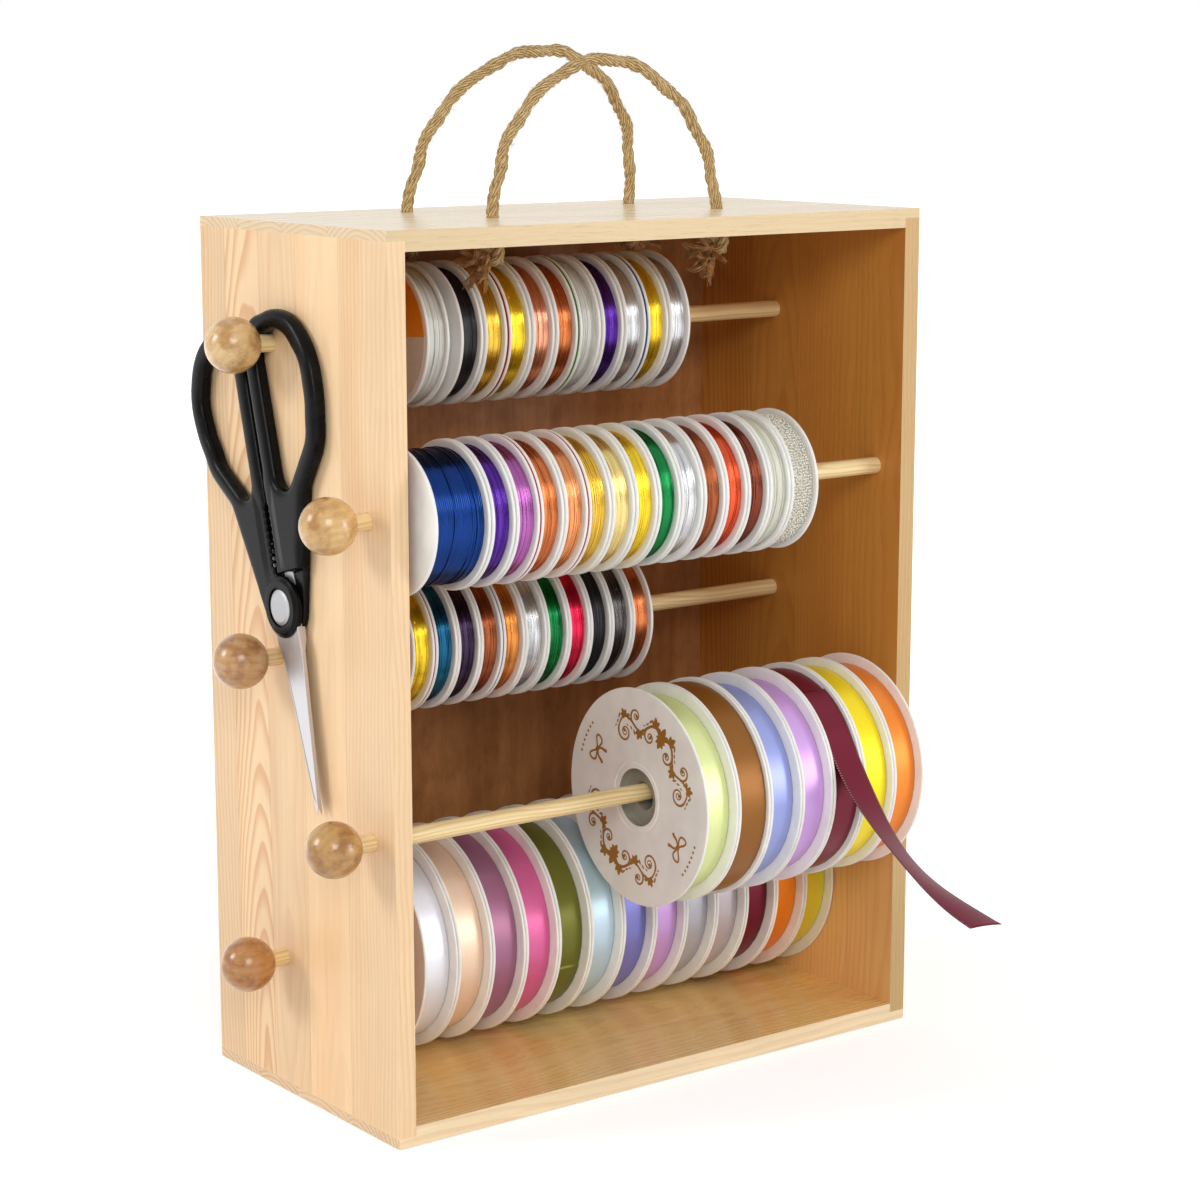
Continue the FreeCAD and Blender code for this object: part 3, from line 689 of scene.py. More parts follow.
def reel_body(name, x, width, row, size, materials):
    """A moulded reel: two discs with a rounded rim, a drum and a recessed hub."""
    radius, flange, core, hub, depth, bore = (size[key] for key in ("radius", "flange", "core", "hub",
                                                                    "depth", "bore"))
    lip, groove, rim = hub + 2.4, 0.25, flange + size["bead"]
    half = [(0, hub, 0.3), (0, lip, 0.12), (groove, lip + 0.3, 0.1), (groove, lip + 1.1, 0.1),
            (0, lip + 1.4, 0.12), (0, radius, 0.6), (rim, radius, 0.6), (rim, radius - 1.1, 0.9),
            (flange, radius - 4.5, 4.0), (flange, core, 0.4)]
    mirror = [(width - px, pr, c) for px, pr, c in reversed(half)]
    recess = [(width - depth, hub, 0.4), (width - depth, bore, 0.5), (depth, bore, 0.5), (depth, hub, 0.4)]
    profile = rounded(half + mirror + recess, 0.3)
    profile[:, 0] += x
    return lathe(name, profile, reel_axis(row, size), size["segments"], materials,
                 slot_of=lambda place: int(place[1] < hub + 0.1))


def wire_winding(name, x, width, row, wound, gauge, material, rng, mess):
    """Turns of wire side by side, with a few that cross over them."""
    axis = reel_axis(row, WIRE_REEL)
    flange, core = WIRE_REEL["flange"], WIRE_REEL["core"]
    low, high = x + flange + 0.05, x + width - flange - 0.05
    turns = max(3, int((high - low) / gauge))
    pitch = (high - low) / turns
    heights = [wound - gauge * 0.5 + rng.uniform(-0.10, 0.10) * mess for _ in range(turns)]
    profile = [(low, core + 0.2)]
    for number, height in enumerate(heights):
        for share in (-0.5, -0.3, 0.0, 0.3):
            lift = math.sqrt(max(0.0, 1 - (2 * share) ** 2)) * pitch * 0.5
            profile.append((low + (number + 0.5) * pitch + share * pitch, height + max(lift, 0.05)))
    profile += [(high, heights[-1] + 0.05), (high, core + 0.2)]
    phase, wave = rng.uniform(0, 6.28), 0.10 * mess

    def wobble(angle, px, r):
        return np.where((px > low + 0.3) & (px < high - 0.3) & (r > core + 1),
                        wave * np.sin(angle * 2 + phase + px * 0.9), 0.0)

    def swell(angle, px, r):
        return np.where(r > core + 1, wave * np.sin(angle * 3 + phase * 2 + px * 1.7), 0.0)

    base = lathe(name, profile, axis, 128, [material], radius_of=swell, x_of=wobble)
    parts = []
    for _ in range(int(3 + 2 * mess)):
        start, sweep = rng.uniform(0, TURN), rng.uniform(1.3, 5.0) * math.pi
        from_x = rng.uniform(low + gauge, high - gauge)
        to_x = min(max(from_x + rng.uniform(-0.5, 0.5) * (high - low), low + gauge), high - gauge)
        share = np.linspace(0, 1, int(sweep * 22))
        angle = start + sweep * share
        px = from_x + (to_x - from_x) * (share * share * (3 - 2 * share)) + 0.12 * np.sin(angle * 3)
        ride = wound + 0.12 - 0.5 * gauge * (np.abs(2 * share - 1) ** 12)
        line = np.stack([px, axis[0] + ride * np.cos(angle), axis[1] + ride * np.sin(angle)], -1)
        parts.append(tube_arrays(line, gauge * 0.46, 6))
    return [base, merged(f"{name}_crossings", parts, [material])]


def ribbon_winding(name, x, row, wound, material, end_angle):
    """Layers of ribbon with its last end showing as a step."""
    core, side = RIBBON_REEL["core"], RIBBON_REEL["flange"] + RIBBON_GAP
    low, high = x + side, x + RIBBON_REEL["width"] - side
    width = high - low
    profile = [(low, core + 0.3)]
    for share in (0.0, 0.02, 0.045, 0.09, 0.2, 0.35, 0.5, 0.65, 0.8, 0.91, 0.955, 0.98, 1.0):
        profile.append((low + share * width, wound - 0.22 * abs(2 * share - 1) ** 5))
    profile.append((high, core + 0.3))

    def slack(angle, px, r):
        edge = np.minimum(px - low, high - px) < 0.05 * width
        waves = 0.05 * np.sin(2 * angle + px) + 0.03 * np.sin(5 * angle + 2)
        picot = np.where(edge, 0.05 * np.sin(angle * wound / 1.1), 0.0)
        return np.where(r > core + 5, waves + picot, 0.0)

    obj = lathe(name, profile, reel_axis(row, RIBBON_REEL), 320, [material], radius_of=slack, spiral=0.4,
                start=end_angle)
    # The UV's second number is zero at the ribbon's left edge.
    layer = obj.data.uv_layers[0].data
    values = numbers_of(layer, "uv", 2)
    values[:, 1] -= (wound - core - 0.3) * MM
    set_numbers(layer, "uv", values)
    return obj


def label_disc(name, x, row, thickness, materials, radius=32.8, hole=12.2):
    """A paper label on a reel's face. With two materials, the second is on its upper part."""
    axis = reel_axis(row, WIRE_REEL)
    profile = rounded([(x, hole), (x, radius), (x + thickness, radius), (x + thickness, hole)],
                      thickness * 0.3, 2)
    obj = lathe(name, profile, axis, 112, materials)
    if len(materials) > 1:
        faces = obj.data.polygons
        upper = numbers_of(faces, "center", 3)[:, 2] > (axis[1] + 1.0) * MM
        faces.foreach_set("material_index", upper.astype(np.int32))
    return obj


def pearl_chain(name, x, width, row, material, core_material):
    """Small beads wound in a close helix over a smooth core."""
    y, z = axis = reel_axis(row, WIRE_REEL)
    wound, bead = PEARLS_WOUND, PEARL_RADIUS
    low, high = x + WIRE_REEL["flange"], x + width - WIRE_REEL["flange"]
    core = lathe(f"{name}_under", rounded([(low + 0.1, 14.5), (low + 0.1, wound - 1.3),
                                           (high - 0.1, wound - 1.3), (high - 0.1, 14.5)], 0.3),
                 axis, 96, [core_material])
    ball = bmesh.new()
    bmesh.ops.create_icosphere(ball, subdivisions=1, radius=bead)
    ball_points = np.array([v.co for v in ball.verts])
    ball_faces = np.array([[v.index for v in f.verts] for f in ball.faces])
    ball.free()
    per_turn = int(TURN * (wound - bead) / (2.0 * bead))
    count = int((high - low - 2 * bead) / (1.9 * bead)) * per_turn
    share, loose = np.arange(count), np.random.default_rng(5)
    px = (low + bead + 0.05 + (high - low - 2 * bead - 0.1) * share / (count - 1)
          + loose.normal(0, 0.22, count))
    angle = share / per_turn * TURN + loose.normal(0, 0.006, count)
    reach = wound - bead + loose.normal(0, 0.2, count).clip(-0.5, 0.3)
    middles = np.stack([px, y + reach * np.cos(angle), z + reach * np.sin(angle)], -1)
    points = (middles[:, None, :] + ball_points[None]).reshape(-1, 3)
    faces = (share[:, None, None] * len(ball_points) + ball_faces[None]).reshape(-1, 3)
    return [core, add_mesh(name, points, faces, [material])]


# ---------------------------------------------------------------- the printed ornament
VINE_RADIUS, VINE_BAY, VINE_BULGE, VINE_BAYS = 35.0, 10.8, 3.2, 3
VINE_MIDDLES, BOW_MIDDLES = (120, 300), (30, 210)       # degrees round the reel
BOW_DOTS, DOT_RADIUS, DOT_STEP = 7, 0.62, 3.6
# The print's front and back from the reel's face, and how far each piece lies over the last.
PRINT_FRONT, PRINT_BACK, PRINT_LAYER = -0.03, 0.02, 0.0006


def polar(radius, degrees):
    """A place on the reel's face, from its middle."""
    return radius * np.array((math.cos(math.radians(degrees)), math.sin(math.radians(degrees))))


def on_vine(middle, way, along):
    """Where a vine is, so far along it one way from its middle."""
    return polar(VINE_RADIUS + VINE_BULGE * math.sin(math.pi * along / VINE_BAY),
                 middle + way * math.degrees(along / VINE_RADIUS))


def vine_heading(middle, way, along):
    """The way that the vine grows there, as an angle."""
    ahead = on_vine(middle, way, along + 0.1) - on_vine(middle, way, along - 0.1)
    return math.atan2(ahead[1], ahead[0])


def ornament(name, x, row, material):
    """A plain foil border for a reel's face: two scrolling vines with leaves, two bows and dots."""
    stems, shapes = [], []      # (line, widths), and (middle, size, a leaf's turn and width or None)

    def curl(foot, heading, size, turns, hand, width, steps=44):
        """A stem that rolls up into a spiral with a dot at its end."""
        points = [np.array(foot, float)]
        stride = TURN * turns * size * 0.50 / steps
        for step in range(steps):
            heading += hand * stride / (size * (1.0 - 0.84 * step / steps))
            points.append(points[-1] + stride * np.array((math.cos(heading), math.sin(heading))))
        stems.append((np.array(points), np.linspace(width, width * 0.4, steps + 1)))
        shapes.append((points[-1], width * 0.72, None))

    def leaf(foot, heading, length, narrow=0.36):
        shapes.append((foot + 0.5 * length * np.array((math.cos(heading), math.sin(heading))), 0.5 * length,
                       (heading, narrow)))

    def vine_leaf(foot, heading, length):
        for turn, share in ((0.0, 1.0), (0.75, 0.82), (-0.75, 0.82), (1.6, 0.52), (-1.6, 0.52)):
            leaf(foot, heading + turn, length * share, 0.50)

    for middle in VINE_MIDDLES:
        for way in (-1, 1):
            along = np.linspace(0, VINE_BAYS * VINE_BAY, 90)
            stems.append((np.array([on_vine(middle, way, s) for s in along]), np.linspace(1.5, 0.9, 90)))
            for bay in range(1, VINE_BAYS + 1):
                bulge, last = 1 if bay % 2 else -1, bay == VINE_BAYS
                end, top = bay * VINE_BAY, (bay - 0.5) * VINE_BAY
                curl(on_vine(middle, way, end), vine_heading(middle, way, end), 5.2 if last else 4.3,
                     1.75 if last else 1.55, way * bulge, 1.25)
                radial = math.radians(middle + way * math.degrees(top / VINE_RADIUS))
                outward = radial + (math.pi if bulge < 0 else 0.0)
                vine_leaf(on_vine(middle, way, top), outward + 0.35 * way * bulge, 5.4 - 0.4 * bay)
                early = top - 0.32 * VINE_BAY
                curl(on_vine(middle, way, early), vine_heading(middle, way, early) + 0.9 * way * bulge, 1.9,
                     1.2, -way * bulge, 0.8)
                for drop in range(3):
                    # Drops fan out beyond the end of the bay.
                    place = on_vine(middle, way, end - 0.6 + 2.3 * drop) + polar(
                        bulge * (2.4 + 0.5 * drop), math.degrees(outward if bulge > 0 else outward + math.pi))
                    leaf(place, outward + (0.5 + 0.3 * drop) * -way * bulge, 3.0 - 0.6 * drop)
        for heading, length in ((middle, 7.0), (middle + 180, 5.0)):
            vine_leaf(on_vine(middle, 1, 0.0), math.radians(heading), length)
    for degrees in BOW_MIDDLES:
        # A tied bow over a row of dots stands between the vines.
        knot, up, across = polar(35.0, degrees), polar(1.0, degrees), polar(1.0, degrees + 90)
        round_way, fall = np.linspace(0.05, TURN - 0.05, 40), np.linspace(0, 1, 20)
        pinch = 1 - np.cos(round_way)
        for side in (-1, 1):
            stems.append((knot + np.outer(side * 3.3 * pinch, across) + np.outer(
                1.75 * np.sin(round_way) * pinch + 0.8 * pinch, up), np.full(40, 1.0)))
            stems.append((knot + np.outer(side * (4.4 * fall + 0.7 * np.sin(5 * fall)), across)
                          - np.outer(6.2 * fall, up), np.linspace(0.9, 1.6, 20)))
        shapes.append((knot, 1.3, None))
        for number in range(BOW_DOTS):
            shapes.append((polar(45.0, degrees + (number - BOW_DOTS // 2) * DOT_STEP), DOT_RADIUS, None))

    parts = []

    def plate(rims, faces):
        """A thin piece. Each lies a little over the last, so that none share a face."""
        front = PRINT_FRONT - PRINT_LAYER * (len(parts) + 1)
        rims = np.vstack(rims) + reel_axis(row, RIBBON_REEL)
        parts.append((np.vstack([np.column_stack([np.full(len(rims), x + depth), rims])
                                 for depth in (front, PRINT_BACK)]), np.array(faces), None))

    for stem, widths in stems:
        n = len(stem)
        ahead = np.gradient(stem, axis=0)
        across = np.stack([-ahead[:, 1], ahead[:, 0]], -1) / np.linalg.norm(ahead, axis=1)[:, None]
        half = across * widths[:, None] / 2
        faces = []
        for i in range(n - 1):
            a, b, c, d = i, i + 1, n + i + 1, n + i
            e, f, g, h = (k + 2 * n for k in (a, b, c, d))
            faces += [(a, d, c, b), (e, f, g, h), (a, b, f, e), (d, h, g, c)]
        faces += [(0, 2 * n, 3 * n, n), (2 * n - 1, 4 * n - 1, 3 * n - 1, n - 1)]
        plate((stem - half, stem + half), faces)
    n = 20
    angle = TURN * np.arange(n) / n
    for middle, size, leaf_shape in shapes:
        turn, narrow = leaf_shape or (0.0, 1.0)
        u, v = size * np.cos(angle), size * narrow * np.sin(angle)
        if leaf_shape:
            v *= np.abs(np.sin(angle)) ** 0.7
        outline = middle + np.stack([u * math.cos(turn) - v * math.sin(turn),
                                     u * math.sin(turn) + v * math.cos(turn)], -1)
        faces, back = [], n + 1
        for i in range(0, n, 2):
            j, k = i + 1, (i + 2) % n
            faces += [(n, k, j, i), (back + n, back + i, back + j, back + k)]
        faces += [(i, (i + 1) % n, back + (i + 1) % n, back + i) for i in range(n)]
        plate((outline, middle), faces)
    return merged(name, parts, [material], smooth=False)


# ---------------------------------------------------------------- the rows of reels
SATINS = {
    "lime": (224, 234, 166), "brown_gold": (142, 90, 30), "periwinkle": (158, 168, 226),
    "lilac": (212, 168, 232), "burgundy": (114, 14, 42), "yellow": (250, 226, 30),
    "orange": (240, 138, 48), "white": (238, 240, 248), "cream": (242, 212, 186),
    "mauve": (166, 110, 140), "hot_pink": (222, 106, 160), "olive": (112, 112, 40),
    "light_blue": (198, 222, 238), "deep_periwinkle": (132, 132, 206), "light_grey": (188, 188, 198),
    "silver_grey": (198, 188, 194), "deep_orange": (246, 140, 26), "soft_yellow": (236, 222, 62)}
# Each reel of ribbon: colour, radius of the winding in the fourth row, and the angle of its end.
FOURTH_ROW = (("lime", 46.5, 20.0), ("brown_gold", 50.1, 300.0), ("periwinkle", 46.5, 70.0),
              ("lilac", 46.5, 50.0), ("burgundy", 49.1, 30.0), ("yellow", 47.9, 15.0),
              ("orange", 46.9, 60.0))
FIFTH_ROW = (("white", 10.0), ("cream", 40.0), ("mauve", 60.0), ("hot_pink", 350.0), ("olive", 201.0),
             ("light_blue", 30.0), ("deep_periwinkle", 20.0), ("lilac", 50.0), ("light_grey", 15.0),
             ("silver_grey", 35.0), ("burgundy", 70.0), ("deep_orange", 25.0), ("soft_yellow", 5.0))
FIFTH_ROW_WOUND = 46.5
RIBBON_PITCH = RIBBON_REEL["width"] + 0.5
FOURTH_ROW_LEFT = INNER_LEFT + 136.6
FIFTH_ROW_LEFT = INNER_RIGHT - 0.6 - 13 * RIBBON_PITCH + 0.5
WIRES = {
    "navy": (12, 50, 116), "black": (38, 36, 40), "gold": (226, 186, 70), "yellow_gold": (238, 206, 50),
    "rose": (232, 164, 132), "copper": (206, 120, 68), "purple": (88, 44, 150), "silver": (214, 214, 216),
    "mauve": (172, 98, 168), "light_copper": (226, 152, 98), "pale_gold": (230, 208, 138),
    "green": (24, 128, 66), "brown_copper": (158, 86, 50), "red_copper": (216, 86, 50),
    "dark_copper": (128, 62, 44), "teal": (24, 92, 128), "plum": (64, 46, 74),
    "orange_copper": (216, 138, 66), "pink": (222, 36, 78), "grey": (96, 92, 92)}
BRIGHT_WIRE, BLACK_WIRE = (0.20, 0.95), (0.3, 0.5)      # roughness, and how metallic
SLOTS = {content: slot for slot, contents in (
    ("wire_navy", "navy"), ("wire_black", "black"), ("wire_gold", "gold yellow_gold pale_gold"),
    ("wire_copper", "copper rose light_copper orange_copper brown_copper"), ("wire_purple", "purple"),
    ("wire_silver", "silver"), ("wire_teal", "teal"), ("cord_clear", "clear elastic"),
    ("pearl_white", "pearl"), ("satin_periwinkle", "deep_periwinkle"), ("satin_orange", "deep_orange"),
    ("satin_yellow", "soft_yellow")) for content in contents.split()}
# Each row of wire reels: row, where it starts, the gap after a reel, and its groups of reels.
WIRE_ROWS = (
    (1, INNER_LEFT + 51.4, 1.0, (("wire_spool_1", "clear"), ("wire_spools_2_to_4", "black gold yellow_gold"),
                                 ("wire_spools_5_to_7", "rose copper clear"),
                                 ("wire_spools_8_to_9", "purple silver"),
                                 ("wire_spools_10_to_11", "yellow_gold silver"))),
    (2, INNER_LEFT + 3.8, 0.6, (("wire_spool_1", "navy"), ("wire_spools_2_to_4", "purple mauve copper"),
                                ("wire_spools_5_to_7", "light_copper gold pale_gold"),
                                ("wire_spools_8_to_10", "yellow_gold green silver"),
                                ("wire_spools_11_to_13", "brown_copper red_copper dark_copper"),
                                ("elastic_and_pearl_spools", "elastic pearl"))),
    (3, INNER_LEFT + 41.6, 0.3, (("wire_spools_1_to_4", "yellow_gold teal plum brown_copper"),
                                 ("wire_spools_5_to_8", "orange_copper silver green pink"),
                                 ("wire_spools_9_to_11", "black grey copper"))))
WIDE_REELS = {"navy": 28.6, "pearl": 16.2}
# Labels: their colours, how thick they are in each row, and which reel of which row has one.
LABEL_TONES = {"orange": (250, 152, 20), "red": (176, 34, 34), "blue": (34, 96, 150),
               "green": (70, 140, 50), "pale": (226, 220, 200)}
LABEL_THICKNESS = {1: 0.4, 2: 0.35, 3: 0.2}
LABELS = {(1, 4): "red", (1, 7): "green", (1, 10): "blue", (2, 4): "red", (2, 6): "red", (3, 2): "red",
          (3, 5): "blue"}


def wire_reel(name, node, body, x, row, number, content, looks, labels, rng):
    """One reel of wire, cord or pearls. Gives its width."""
    width = WIDE_REELS.get(content, WIRE_REEL["width"])
    placed(reel_body(f"{name}_plastic", x, width, row, WIRE_REEL, looks["plastic"]), body, *node)
    if content == "pearl":
        pieces = pearl_chain(f"{name}_pearls", x, width, row, looks["pearl"], looks["elastic"])
    else:
        # Radius of the winding, thickness of the wire and how untidily it is wound.
        wound, gauge, mess = {
            "elastic": (ELASTIC_WOUND, 0.9, 0.6), "navy": (WIRE_WOUND, 0.95, 0.8),
            "clear": (FULL_CORD_WOUND if number == 1 else CORD_WOUND, 0.5, 1.0)}.get(
                content, (WIRE_WOUND, 0.42 if row == 1 else 0.55, 1.0))
        pieces = wire_winding(f"{name}_wound", x, width, row, wound, gauge, looks[content], rng, mess)
    for piece in pieces:
        placed(piece, body, slot=SLOTS.get(content))
    if (row, number) in LABELS:
        thick = LABEL_THICKNESS[row]
        placed(label_disc(f"{name}_label", x - thick - 0.02, row, thick, [labels[LABELS[row, number]]]), body)
    if (row, number) == (1, 1):
        placed(label_disc(f"{name}_label", x - 0.22, row, 0.2, [labels["pale"], labels["orange"]], 30.6, 9.6),
               body)
    return width


def make_wire_reels(plastic):
    """The reels of the first three rows. plastic is the material of the reel, and of its hub."""
    rng = random.Random(41)
    looks = {name: wire_metal(f"wire_{name}", srgb(*tone), *(BLACK_WIRE if name == "black" else BRIGHT_WIRE))
             for name, tone in WIRES.items()}
    looks.update(plastic=plastic, clear=clear_cord("cord_clear", srgb(226, 228, 220)),
                 elastic=clear_cord("cord_elastic", srgb(232, 232, 212), 0.28),
                 pearl=clear_cord("pearl_white", srgb(236, 230, 216), 0.2))
    labels = {name: printed(f"label_{name}", srgb(*tone)) for name, tone in LABEL_TONES.items()}
    for row, x, gap, groups in WIRE_ROWS:
        number = 0
        for group, contents in groups:
            node = f"row_{row}_{group}"
            for index, content in enumerate(contents.split()):
                number += 1
                x += wire_reel(f"row_{row}_reel_{number}", [] if index else [node], f"{node}_reel", x, row,
                               number, content, looks, labels, rng)
                x += 6.0 if (row, number) == (1, 1) else gap


def make_ribbon_reels(plastic, foil):
    """The reels of the last two rows. Gives the materials of the ribbons."""
    wide = (RIBBON_REEL["width"] - 2 * (RIBBON_REEL["flange"] + RIBBON_GAP)) * MM
    cloth = {name: satin(f"satin_{name}", srgb(*tone), wide) for name, tone in SATINS.items()}
    reels = [(4, FOURTH_ROW_LEFT, n, *spec) for n, spec in enumerate(FOURTH_ROW)]
    reels += [(5, FIFTH_ROW_LEFT, n, colour, FIFTH_ROW_WOUND, end)
              for n, (colour, end) in enumerate(FIFTH_ROW)]
    for row, left, n, colour, wound, end in reels:
        node, x = f"row_{row}_ribbon_spool_{n + 1}", left + n * RIBBON_PITCH
        body = f"{node}_reel"
        placed(reel_body(f"{node}_plastic", x, RIBBON_REEL["width"], row, RIBBON_REEL, plastic), body, node)
        placed(ribbon_winding(f"{node}_ribbon", x, row, wound, cloth[colour], end), body,
               slot=SLOTS.get(colour, f"satin_{colour}"))
        if (row, n) == (4, 0):
            placed(ornament(f"{node}_ornament", x, row, foil), body)
    return cloth


# ---------------------------------------------------------------- the loose end of ribbon
TAIL_WIDTH, TAIL_THICKNESS, TAIL_CUT, TAIL_TWIST = 15.4, 0.3, 4.0, math.radians(20.0)
# It lies on its reel between two angles, in degrees, and curls the other way to a third.
TAIL_START, TAIL_LEAVE, TAIL_END = 119, 150, 278
TAIL_OVER, TAIL_CURL = 49.7, 140.0      # radius on the reel, and of the curl
TAIL_ACROSS = 15                        # points across the ribbon


def make_tail(material):
    """Burgundy satin that leaves its reel in front and hangs out in one soft curl."""
    rod_y, rod_z = reel_axis(4, RIBBON_REEL)
    left, width, across = FOURTH_ROW_LEFT + 4 * RIBBON_PITCH + 1.6, TAIL_WIDTH, TAIL_ACROSS
    leave = math.radians(TAIL_LEAVE)
    curl_y, curl_z = (rod + (TAIL_OVER + TAIL_CURL) * part for rod, part in
                      ((rod_y, math.cos(leave)), (rod_z, math.sin(leave))))
    wrap = np.radians(np.linspace(TAIL_START, TAIL_LEAVE, 26))
    turn = np.radians(np.linspace(TAIL_LEAVE + 180, TAIL_END, 90))[1:]
    line = np.vstack([
        np.stack([rod_y + TAIL_OVER * np.cos(wrap), rod_z + TAIL_OVER * np.sin(wrap)], -1),
        np.stack([curl_y + TAIL_CURL * np.cos(turn), curl_z + TAIL_CURL * np.sin(turn)], -1)])
    along = lengths_along(line)
    full = along[-1]
    tangent = np.gradient(line, axis=0)
    tangent /= np.linalg.norm(tangent, axis=1)[:, None]
    normal = np.stack([tangent[:, 1], -tangent[:, 0]], -1)
    length, share = along[:, None], (np.arange(across) / (across - 1))[None, :]
    # The cut end is slanted: the left edge is shorter.
    at = length - TAIL_CUT * (1 - share) * np.maximum(0.0, (length - full * 0.55) / (full * 0.45))
    base, out = (np.stack([np.interp(at, along, rail[:, k]) for k in (0, 1)], -1) for rail in (line, normal))
    free = np.maximum(0.0, (length - 26) / (full - 26))
    bow = 0.55 * free * (1 - (2 * share - 1) ** 2)
    wave = (0.7 * free * np.sin(length / 17.0)
            + 1.2 * free * (share - 0.5) * np.sin(length / 24.0 + 0.6))
    twist = TAIL_TWIST * np.sin(math.pi * np.clip((length - 40) / 105, 0.0, 1.0)) ** 2
    lift = (0.5 - share) * width * np.sin(twist)
    x = left + width * (0.5 + (share - 0.5) * np.cos(twist))
    sides = [np.concatenate([x[..., None], base + out * (half + bow + wave + lift)[..., None]], -1)
             for half in (0.5 * TAIL_THICKNESS, -0.5 * TAIL_THICKNESS)]
    number = np.arange(at.size).reshape(at.shape)
    a, b, c, d = number[:-1, :-1], number[:-1, 1:], number[1:, 1:], number[1:, :-1]
    under = at.size
    faces = np.stack([np.stack([a, b, c, d], -1), under + np.stack([d, c, b, a], -1)], 2).reshape(-1, 4)
    rim = np.concatenate([number[0, :-1], number[:-1, -1], number[-1, :0:-1], number[:0:-1, 0]])
    after = np.roll(rim, -1)
    faces = np.vstack([faces, np.stack([after, rim, under + rim, under + after], -1)])
    flat = np.stack(np.broadcast_arrays(length, share * width), -1).reshape(-1, 2)
    tail = add_mesh("burgundy_ribbon_end", np.concatenate(sides).reshape(-1, 3), faces, [material],
                    np.vstack([flat, flat])[faces.ravel()])
    edit(tail.data, lambda work: bmesh.ops.recalc_face_normals(work, faces=work.faces))
    placed(tail, "cabinet", "row_4_ribbon_tail", slot="satin_burgundy")


# ---------------------------------------------------------------- the scissors
LOOP_MIDDLE = (26.0, 88.0)      # of a finger loop: from the middle line, above the pivot
TILT_COS, TILT_SIN = math.cos(math.radians(15.0)), math.sin(math.radians(15.0))
PIVOT_Y, PIVOT_Z = 1.754, 231.173
BOARD_FACE, DOWEL_RADIUS, HANDLE_GAP = -150.0, 4.0, 0.08
# Each half: names, the side of its blade's back, and X of its blade's ground and inner face.
HALVES = (("outer", "free", 1, -155.9, -153.9), ("inner", "hung", -1, -151.7, -153.7))
# A blade's outline, as across and up.
BLADE_BACK = ((-7, 4), (-9.5, -9), (-10, -22), (-3.0, -89.6))
BLADE_RIDGE = ((-1.6, -85.0), (4.6, -26.0))
BLADE_EDGE = ((-2.6, -93.5), (2.2, -85.5), (8.5, -22.0))
BLADE_TANG = ((8.9, -16.0), (9.5, -9), (9.5, 36), (2.8, 36), (2.0, 13.5))


def on_scissors(x, u, v):
    """A point of the scissors' own plane, u across and v up, in the CAD frame."""
    return x, PIVOT_Y + u * TILT_COS + v * TILT_SIN, PIVOT_Z - u * TILT_SIN + v * TILT_COS


def bake(obj):
    """Puts the mesh that the modifiers give in place of the object's own."""
    bpy.context.view_layer.update()
    mesh = bpy.data.meshes.new_from_object(obj.evaluated_get(bpy.context.evaluated_depsgraph_get()))
    before = obj.data
    obj.modifiers.clear()
    obj.vertex_groups.clear()
    obj.data = mesh
    bpy.data.meshes.remove(before)
    return mesh, numbers_of(mesh.vertices, "co", 3) / MM


